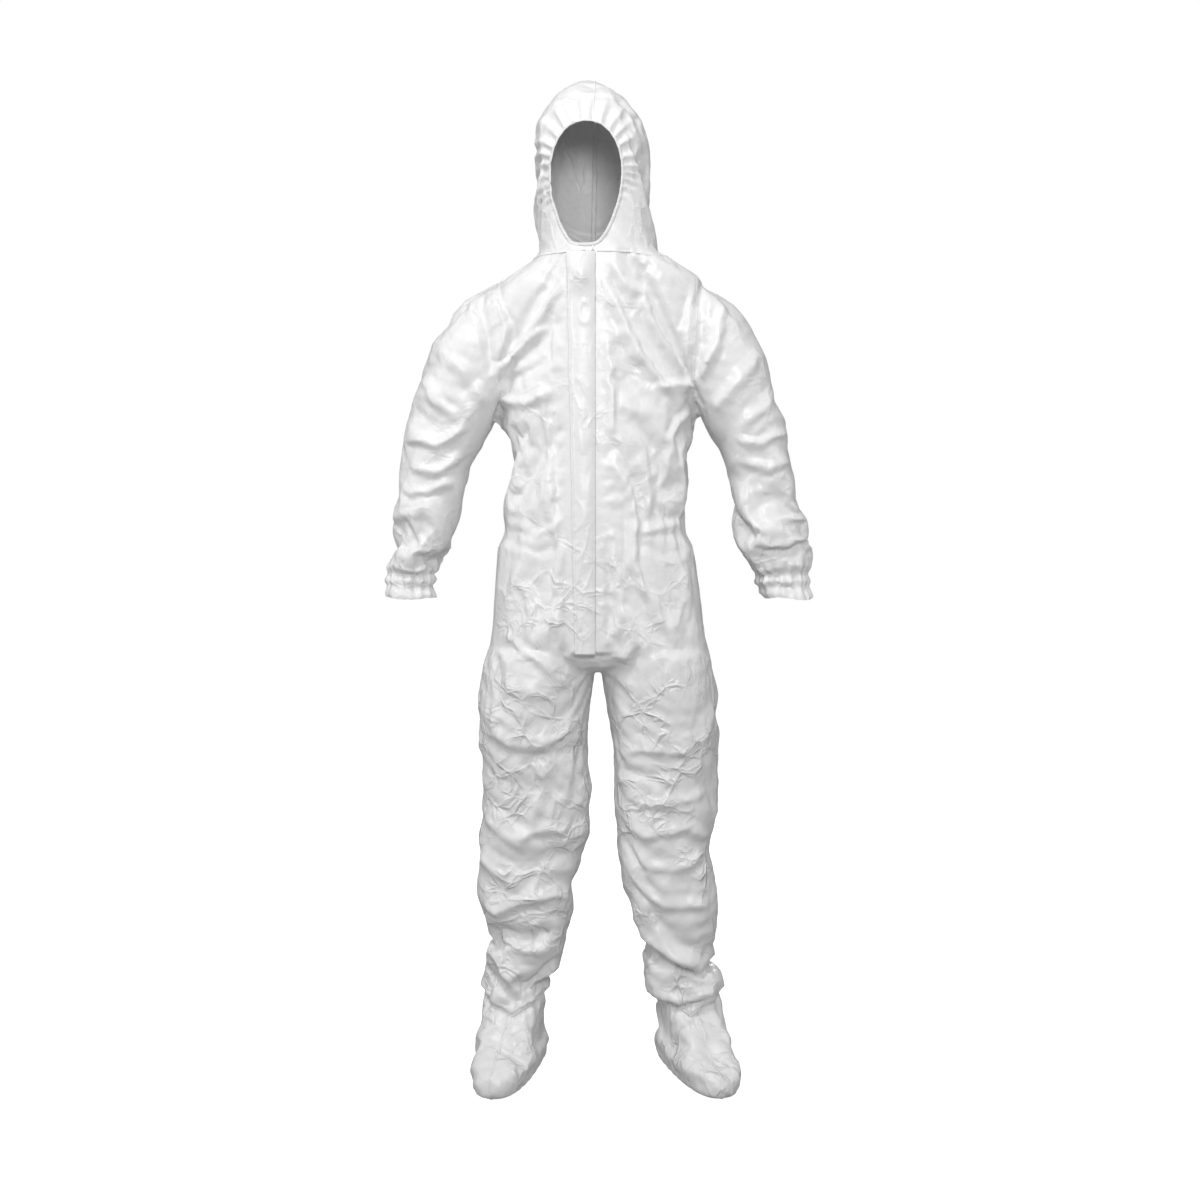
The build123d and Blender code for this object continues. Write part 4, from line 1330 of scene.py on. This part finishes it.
def stitch(at, ahead, face_out, length, thick):
    """One stitch: a short thread that is thin at its two ends."""
    ahead, face_out = Vector(ahead).normalized(), Vector(face_out).normalized()
    across = ahead.cross(face_out)
    rings = []
    for t, r in ((-0.5, 0.25), (-0.3, 0.85), (0, 1), (0.3, 0.85), (0.5, 0.25)):
        rings.append([at + ahead * length * t
                      + (across * math.cos(a) + face_out * math.sin(a)) * thick / 2 * r
                      for a in (k * math.pi / 3 for k in range(6))])
    return closed_tube([[tuple(p) for p in ring] for ring in rings])


def flap_stitches():
    parts = []
    height = FLAP_HIGH - FLAP_LOW
    pitch = 0.0034
    for u, rise in ((0.055, FLAP_THICK), (0.12, FLAP_THICK), (0.90, FLAP_THICK)):
        for k in range(int(height * 0.975 / pitch)):
            v = 0.018 + k * pitch / height
            a, b = flap_point(u, v, rise), flap_point(u, v + 0.002, rise)
            parts.append(stitch(a + Vector((0, -0.00005, 0)), b - a, (0, -1, 0), 0.0024, 0.00045))
    for v in (0.020, 0.046):
        for k in range(11):
            u = 0.12 + k * 0.078
            a, b = flap_point(u, v, FLAP_THICK), flap_point(u + 0.01, v, FLAP_THICK)
            parts.append(stitch(a, b - a, (0, -1, 0), 0.0024, 0.00045))
    return mesh_piece("flap_stitches", parts, THREAD, FLAP_BEND, "laminate")


flap = mesh_piece("zip_storm_flap", [flap_sheet(0, 1, 0, 1, FLAP_THICK, 0, 40, 260)], WHITE,
                  FLAP_BEND, "laminate", "storm_flap")
flap_stitches()
mesh_piece("flap_adhesive", [flap_sheet(0.66, 0.93, 0.015, 0.985, 0.0003, -0.0006, 6, 160)], LINER,
           "storm_flap", "adhesive", "flap_adhesive_strip")


# ---------------------------------------------------------------- zip
def coil(side):
    """One half of the zip: a run of rounded teeth."""
    low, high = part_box(f"{side}_zip_coil")
    sign = 1 if side == "left" else -1
    pitch = 0.0016
    parts = []
    middle = Vector(((low.x + high.x) / 2, (low.y + high.y) / 2, 0))
    inner = low.x if sign > 0 else high.x
    for k in range(int((high.z - low.z) / pitch)):
        z = low.z + (k + (0.25 if sign > 0 else 0.75)) * pitch
        rings = []
        for t, r in ((-0.5, 0.5), (-0.42, 1), (0.38, 1), (0.5, 0.6)):
            x = middle.x - sign * (high.x - low.x) * t
            rings.append([(x, middle.y + math.cos(a) * 0.00095 * r, z + math.sin(a) * 0.00050 * r)
                          for a in (i * math.pi / 3 for i in range(6))])
        parts.append(closed_tube(rings))
    core = [(middle.x + sign * 0.0011, middle.y, z) for z in (low.z, high.z)]
    rings = [[(x + math.cos(a) * 0.0006, y + math.sin(a) * 0.0009, z) for a in
              (i * math.pi / 4 for i in range(8))] for x, y, z in core]
    parts.append(closed_tube(rings))
    return mesh_piece(f"{side}_zip_teeth", parts, NYLON, "trunk", "zip_plastic", f"{side}_zip_coil")


for side in SIDE_NAME.values():
    coil(side)
for node, material in (("left_zip_tape", TAPE), ("right_zip_tape", TAPE), ("zip_slider", ENAMEL),
                       ("zip_pull", ENAMEL), ("zip_top_stops", ENAMEL), ("zip_bottom_stop", ENAMEL)):
    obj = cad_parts[node]
    obj.data.materials.clear()
    obj.data.materials.append(material)

bpy.data.objects.remove(suit)

# ---------------------------------------------------------------- stage, lights and camera
def floor_material():
    m, t, shader, place = new_material("studio_floor")
    grain = add_node(t, "ShaderNodeTexNoise", Vector=place, Scale=6)
    mix = add_node(t, "ShaderNodeMixRGB", grain.outputs["Fac"], (0.93, 0.93, 0.93, 1), (0.95, 0.95, 0.95, 1))
    t.links.new(mix.outputs[0], shader.inputs["Base Color"])
    shader.inputs["Roughness"].default_value = 0.9
    shader.inputs["Emission Color"].default_value = (1, 1, 1, 1)
    shader.inputs["Emission Strength"].default_value = 0.80
    return m


def lamp(name, place, target, size, energy, size_y=None):
    light = bpy.data.lights.new(name, "AREA")
    light.shape = "RECTANGLE"
    light.size = size
    light.size_y = size_y or size
    light.energy = energy
    obj = bpy.data.objects.new(name, light)
    bpy.context.scene.collection.objects.link(obj)
    obj.location = place
    obj.rotation_euler = (Vector(target) - Vector(place)).to_track_quat("-Z", "Y").to_euler()


floor = new_mesh_object("floor", [(-9, -9, -0.0005), (9, -9, -0.0005), (9, 9, -0.0005), (-9, 9, -0.0005)],
                        [(0, 1, 2, 3)])
floor.data.materials.append(floor_material())
floor.visible_diffuse = floor.visible_glossy = False

lamp("top_front", (-0.7, -1.7, 3.5), (0, 0, 1.35), 0.8, 40)
lamp("left_side", (-2.6, -0.9, 1.5), (0, 0, 0.8), 0.8, 13, 1.8)
lamp("right_side", (2.8, -0.6, 1.9), (0, 0, 0.9), 0.8, 11, 1.8)
lamp("back_light", (0, 3.0, 2.1), (0, 0, 1.0), 0.7, 34)
lamp("front_fill", (0.2, -2.9, 1.95), (0, 0, 1.45), 0.9, 36)

world = bpy.data.worlds.new("studio")
bpy.context.scene.world = world
world.use_nodes = True
tree = world.node_tree
seen = add_node(tree, "ShaderNodeBackground", (1, 1, 1, 1), 1.0)
fill = tree.nodes["Background"]
fill.inputs[0].default_value = (1, 1, 1, 1)
fill.inputs[1].default_value = 0.26
which = add_node(tree, "ShaderNodeLightPath")
both = add_node(tree, "ShaderNodeMixShader", which.outputs["Is Camera Ray"], fill.outputs[0], seen.outputs[0])
tree.links.new(both.outputs[0], tree.nodes["World Output"].inputs["Surface"])

camera = bpy.data.cameras.new("camera")
camera.lens = 48.6
camera.sensor_width = 36
camera_object = bpy.data.objects.new("camera", camera)
bpy.context.scene.collection.objects.link(camera_object)
camera_object.location = (0.004, -2.95, 1.020)
camera_object.rotation_euler = (math.pi / 2 - math.radians(3.1), 0, 0)
bpy.context.scene.camera = camera_object
bpy.context.scene.view_settings.view_transform = "Standard"
